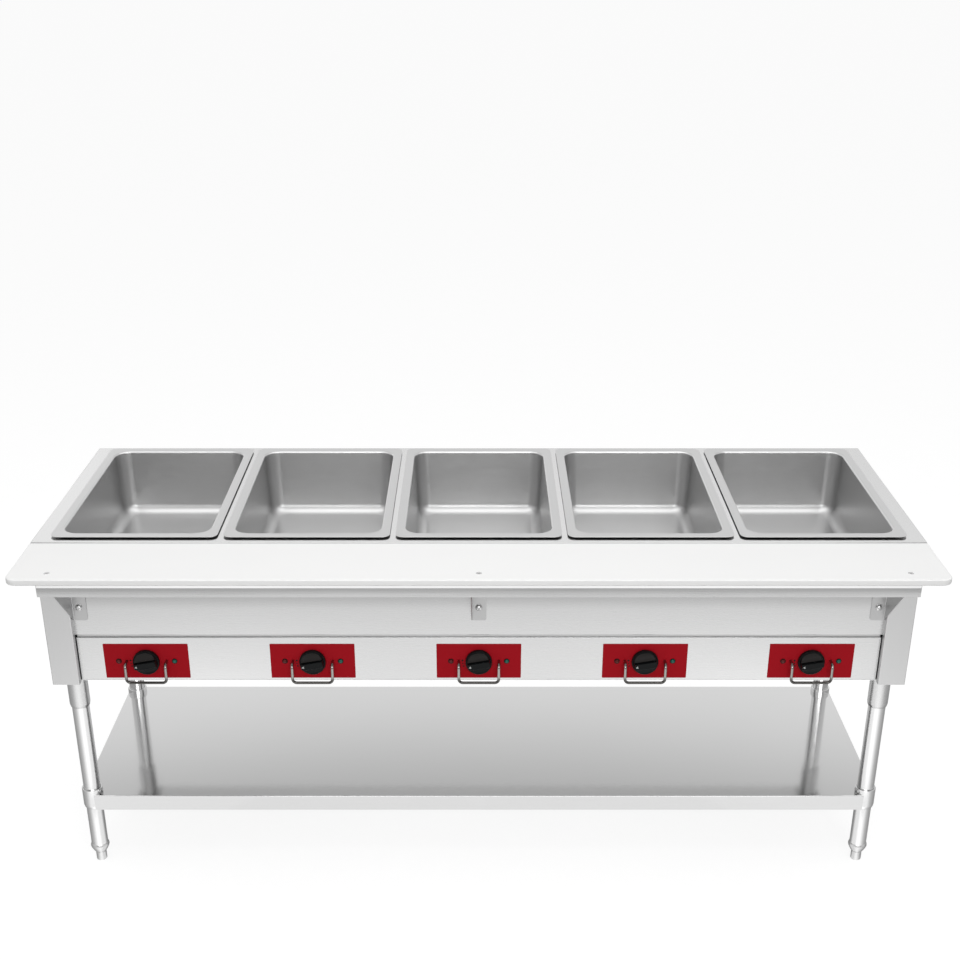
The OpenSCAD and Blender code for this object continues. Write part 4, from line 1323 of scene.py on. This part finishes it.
class BAIN_OT_guards(bpy.types.Operator):
    """Bends the wire guards in front of the knobs"""

    bl_idname = "bain.guards"
    bl_label = "Knob guards"

    def execute(self, context):
        size = context.scene.bain_controls
        low, high = box("knob_guards")
        half, bend, wire = guard_reach(size), size.wire_bend, size.wire
        front, bottom = low.y + wire, low.z + wire
        piece = new_mesh("wire_guards")
        for x in WELL_X:
            left, right = x - half, x + half
            bpy.ops.mesh.primitive_circle_add(
                vertices=16, radius=wire, location=(left, high.y, KNOB_Z), rotation=TILT["Y"]
            )
            drawn(OUT * (high.y - front - bend))
            self.bend((left, front + bend, KNOB_Z - bend), (1, 0, 0), -1)
            drawn(-UP * (KNOB_Z - bottom - 2 * bend))
            self.bend((left + bend, front, bottom + bend), (0, 1, 0), 1)
            drawn(RIGHT * (right - left - 2 * bend))
            self.bend((right - bend, front, bottom + bend), (0, 1, 0), 1)
            drawn(UP * (KNOB_Z - bottom - 2 * bend))
            self.bend((right, front + bend, KNOB_Z - bend), (1, 0, 0), 1)
            drawn(-OUT * (high.y - front - bend))
        close_up()
        settle(piece, "wire", "frame", "guard_wire", "knob_guards", smooth=60)
        return {"FINISHED"}

    def bend(self, centre, axis, way):
        """Bends the wire through a quarter turn."""
        bpy.ops.mesh.spin(steps=8, angle=way * math.pi / 2, center=centre, axis=axis)


class BAIN_OT_legs(bpy.types.Operator):
    """Turns the leg tubes and their tapered sockets"""

    bl_idname = "bain.legs"
    bl_label = "Legs and sockets"

    def execute(self, context):
        size = context.scene.bain_legs
        places = leg_places()
        tube, wall = size.tube / MM, size.wall / MM
        low, high = LOW["legs"].z / MM, HIGH["legs"].z / MM
        leg = [(tube, low), (tube, high), (tube - wall, high), (tube - wall, low), (tube, low)]
        piece = turned("leg_tubes", leg, places, sides=size.sides)
        settle(piece, "tube", "frame", "tube_steel", "legs")
        low, high = box("leg_sockets")
        plate, slack = 3.0, 0.15
        foot, roof = low.z / MM, high.z / MM - plate
        bore, rim = tube + slack, size.socket / MM
        cup = [(bore, 0.0), (rim - 2.3, 0.0), (rim - 1.8, 0.6), (rim - 0.6, 5.0), (rim, 8.5)]
        cup += [(rim, roof - foot), (bore, roof - foot), (bore, 0.0)]
        piece = turned("tapered_sockets", raised(cup, foot), places, sides=size.sides)
        half_x, half_y = high.x - places[-1][0], high.y - places[-1][1]
        reopen(piece)
        for x, y, _ in places:
            block((x - half_x, y - half_y, roof * MM), (x + half_x, y + half_y, high.z))
        settle(piece, "fitting", "frame", "tube_steel", "leg_sockets")
        return {"FINISHED"}


def leg_places():
    """The legs' axes on the floor, front ones first."""
    found = []
    for name in FEET:
        middle = (LOW[f"{name}_foot"] + HIGH[f"{name}_foot"]) / 2
        found.append((middle.x, middle.y, 0.0))
    return found


class BAIN_OT_shelf(bpy.types.Operator):
    """Folds the undershelf, cut round its corner sleeves, and turns the sleeves"""

    bl_idname = "bain.shelf"
    bl_label = "Undershelf"

    def execute(self, context):
        size, legs = context.scene.bain_sheets, context.scene.bain_legs
        low, high = box("undershelf")
        places = leg_places()
        piece = new_mesh("undershelf_sheet")
        middle = ((low.x + high.x) / 2, (low.y + high.y) / 2, high.z)
        rounded_loop(middle, high.x - low.x, high.y - low.y, 0.0, 1)
        pick("EDGE", lambda e: True)
        drawn(-UP * (high.z - low.z))
        pick("FACE", lambda f: lies(f, 2, low.z))
        bpy.ops.mesh.delete(type="ONLY_FACE")
        round_edges(lambda e: lies(e, 2, high.z), size.fold)
        face_towards(lambda f: lies(f, 2, high.z), UP)
        thicken(piece, size.sheet)

        def corners():
            reach = 44 * MM
            for x, y, _ in places:
                at = Vector((x, y, 0))
                outwards = Vector((math.copysign(reach, x), math.copysign(reach, y), 0))
                block(at + UP * (low.z - MM), at + outwards + UP * (high.z + MM))

        def rounds():
            around, past = legs.sleeve + 0.15 * MM, 2 * MM
            for at in places:
                turn([(around, low.z - past), (around, high.z + past)], at, sides=legs.sides)

        cut_with(piece, corners)
        cut_with(piece, rounds)
        settle(piece, "shelf", "shelf", "shelf_steel", "undershelf")
        self.sleeves(legs, places)
        return {"FINISHED"}

    def sleeves(self, size, places):
        """The tapered sleeves at the shelf's corners, which run on the legs."""
        slack = 0.4
        bore, rim = size.tube / MM + slack, size.sleeve / MM
        foot = LOW["shelf_sleeves"].z / MM
        tall = HIGH["shelf_sleeves"].z / MM - foot
        sleeve = [(bore, 0.0), (rim - 2.65, 0.0), (rim - 1.85, 1.0), (rim - 0.35, 6.0), (rim, 9.0)]
        sleeve += [(rim, tall - 1.2), (rim - 0.65, tall), (bore + 0.45, tall), (bore, tall - 0.5)]
        sleeve += [(bore, 0.0)]
        piece = turned("shelf_corner_sleeves", raised(sleeve, foot), places, sides=size.sides)
        settle(piece, "tube", "shelf", "tube_steel", "shelf_sleeves")


class BAIN_OT_feet(bpy.types.Operator):
    """Turns the bead collars and the screw feet"""

    bl_idname = "bain.feet"
    bl_label = "Feet"

    def execute(self, context):
        size = context.scene.bain_legs
        places = leg_places()
        foot, top = LOW["foot_inserts"].z / MM, HIGH["front_left_foot"].z / MM
        screw, bore, plug, shoulder, tall = 6.0, 6.3, 17.4, 24.0, 54.0
        bead = [(bore, 0.0), (12.4, 0.0), (13.2, 0.5), (15.6, 4.0), (18.2, 9.0), (20.3, 13.5), (21.1, 16.0)]
        bead += [(21.25, 17.5), (21.0, 19.5), (20.2, 22.0), (19.1, shoulder), (plug, shoulder)]
        bead += [(plug, tall), (bore, tall), (bore, 0.0)]
        piece = turned("bead_collars", raised(bead, foot), places, sides=size.sides)
        settle(piece, "fitting", "frame", "tube_steel", "foot_inserts")
        wide, neck = size.post / MM, foot - 0.6
        post = [(wide - 5.0, 0.0), (wide - 3.4, 0.3), (wide - 0.6, 3.2), (wide, 4.6), (wide, neck - 1.0)]
        post += [(wide - 0.8, neck), (screw, neck), (screw, top - 1.0), (screw - 1.0, top)]
        for name, at in zip(FEET, places):
            piece = turned(f"{name}_post", post, [at], sides=size.sides)
            settle(piece, "fitting", f"{name}_foot_screw", "tube_steel", f"{name}_foot")
        return {"FINISHED"}


class BAIN_OT_insulation(bpy.types.Operator):
    """Lays the glass-fibre pads and strips round the wells"""

    bl_idname = "bain.insulation"
    bl_label = "Insulation"

    def execute(self, context):
        slack, flange = Vector(even(MM)), 9 * MM
        low, high = LOW["well_insulation"] + slack, HIGH["well_insulation"] - slack
        half_pad = (HIGH["well_liner_1"].x - LOW["well_liner_1"].x) / 2 - flange
        pitch = WELL_X[1] - WELL_X[0]
        strip = high.x - WELL_X[-1] - pitch / 2
        pad_top = LOW["well_liner_1"].z
        piece = new_mesh("fibre_blanket")
        for x in WELL_X:
            block((x - half_pad, low.y, low.z), (x + half_pad, high.y, pad_top))
        for i in range(len(WELL_X) + 1):
            x = (i - len(WELL_X) / 2) * pitch
            block((x - strip, low.y, low.z), (x + strip, high.y, high.z))
        everything()
        bpy.ops.mesh.subdivide(number_cuts=5)
        everything()
        bpy.ops.transform.vertex_random(offset=1.2 * MM, uniform=1.0, seed=7)
        bpy.ops.mesh.vertices_smooth(factor=0.5, repeat=2)
        settle(piece, "fibre", "frame", "fibre", "well_insulation", smooth=80)
        return {"FINISHED"}


class BAIN_PT_sidebar(bpy.types.Panel):
    """Lists the steps in the sidebar"""

    bl_label = "Bain-marie"
    bl_idname = "BAIN_PT_sidebar"
    bl_space_type = "VIEW_3D"
    bl_region_type = "UI"
    bl_category = "Bain-marie"

    def draw(self, context):
        for step in STEPS:
            self.layout.operator(step.bl_idname)
        for group in GROUPS:
            settings, section = getattr(context.scene, group), self.layout.box()
            for key in settings.__annotations__:
                section.prop(settings, key)


GROUPS = {
    "bain_pans": PanSizes,
    "bain_sheets": SheetSizes,
    "bain_controls": ControlSizes,
    "bain_legs": LegSizes,
    "bain_colours": Colours,
    "bain_studio": Studio,
}
STEPS = (
    BAIN_OT_studio,
    BAIN_OT_inner_parts,
    BAIN_OT_pans,
    BAIN_OT_steel_top,
    BAIN_OT_board,
    BAIN_OT_board_support,
    BAIN_OT_body_panels,
    BAIN_OT_switch_plates,
    BAIN_OT_knobs,
    BAIN_OT_lamps,
    BAIN_OT_guards,
    BAIN_OT_legs,
    BAIN_OT_shelf,
    BAIN_OT_feet,
    BAIN_OT_insulation,
)


def register():
    for group in GROUPS.values():
        bpy.utils.register_class(group)
    for name, group in GROUPS.items():
        setattr(bpy.types.Scene, name, PointerProperty(type=group))
    for cls in (*STEPS, BAIN_PT_sidebar):
        bpy.utils.register_class(cls)


def unregister():
    for cls in (BAIN_PT_sidebar, *reversed(STEPS)):
        bpy.utils.unregister_class(cls)
    for name in GROUPS:
        delattr(bpy.types.Scene, name)
    for group in reversed(GROUPS.values()):
        bpy.utils.unregister_class(group)


def main():
    register()
    FINISH.update(make_finishes(bpy.context.scene.bain_colours))
    for step in STEPS:
        family, name = step.bl_idname.split(".")
        getattr(getattr(bpy.ops, family), name)()
    leave_edit()


if __name__ == "__main__":
    main()
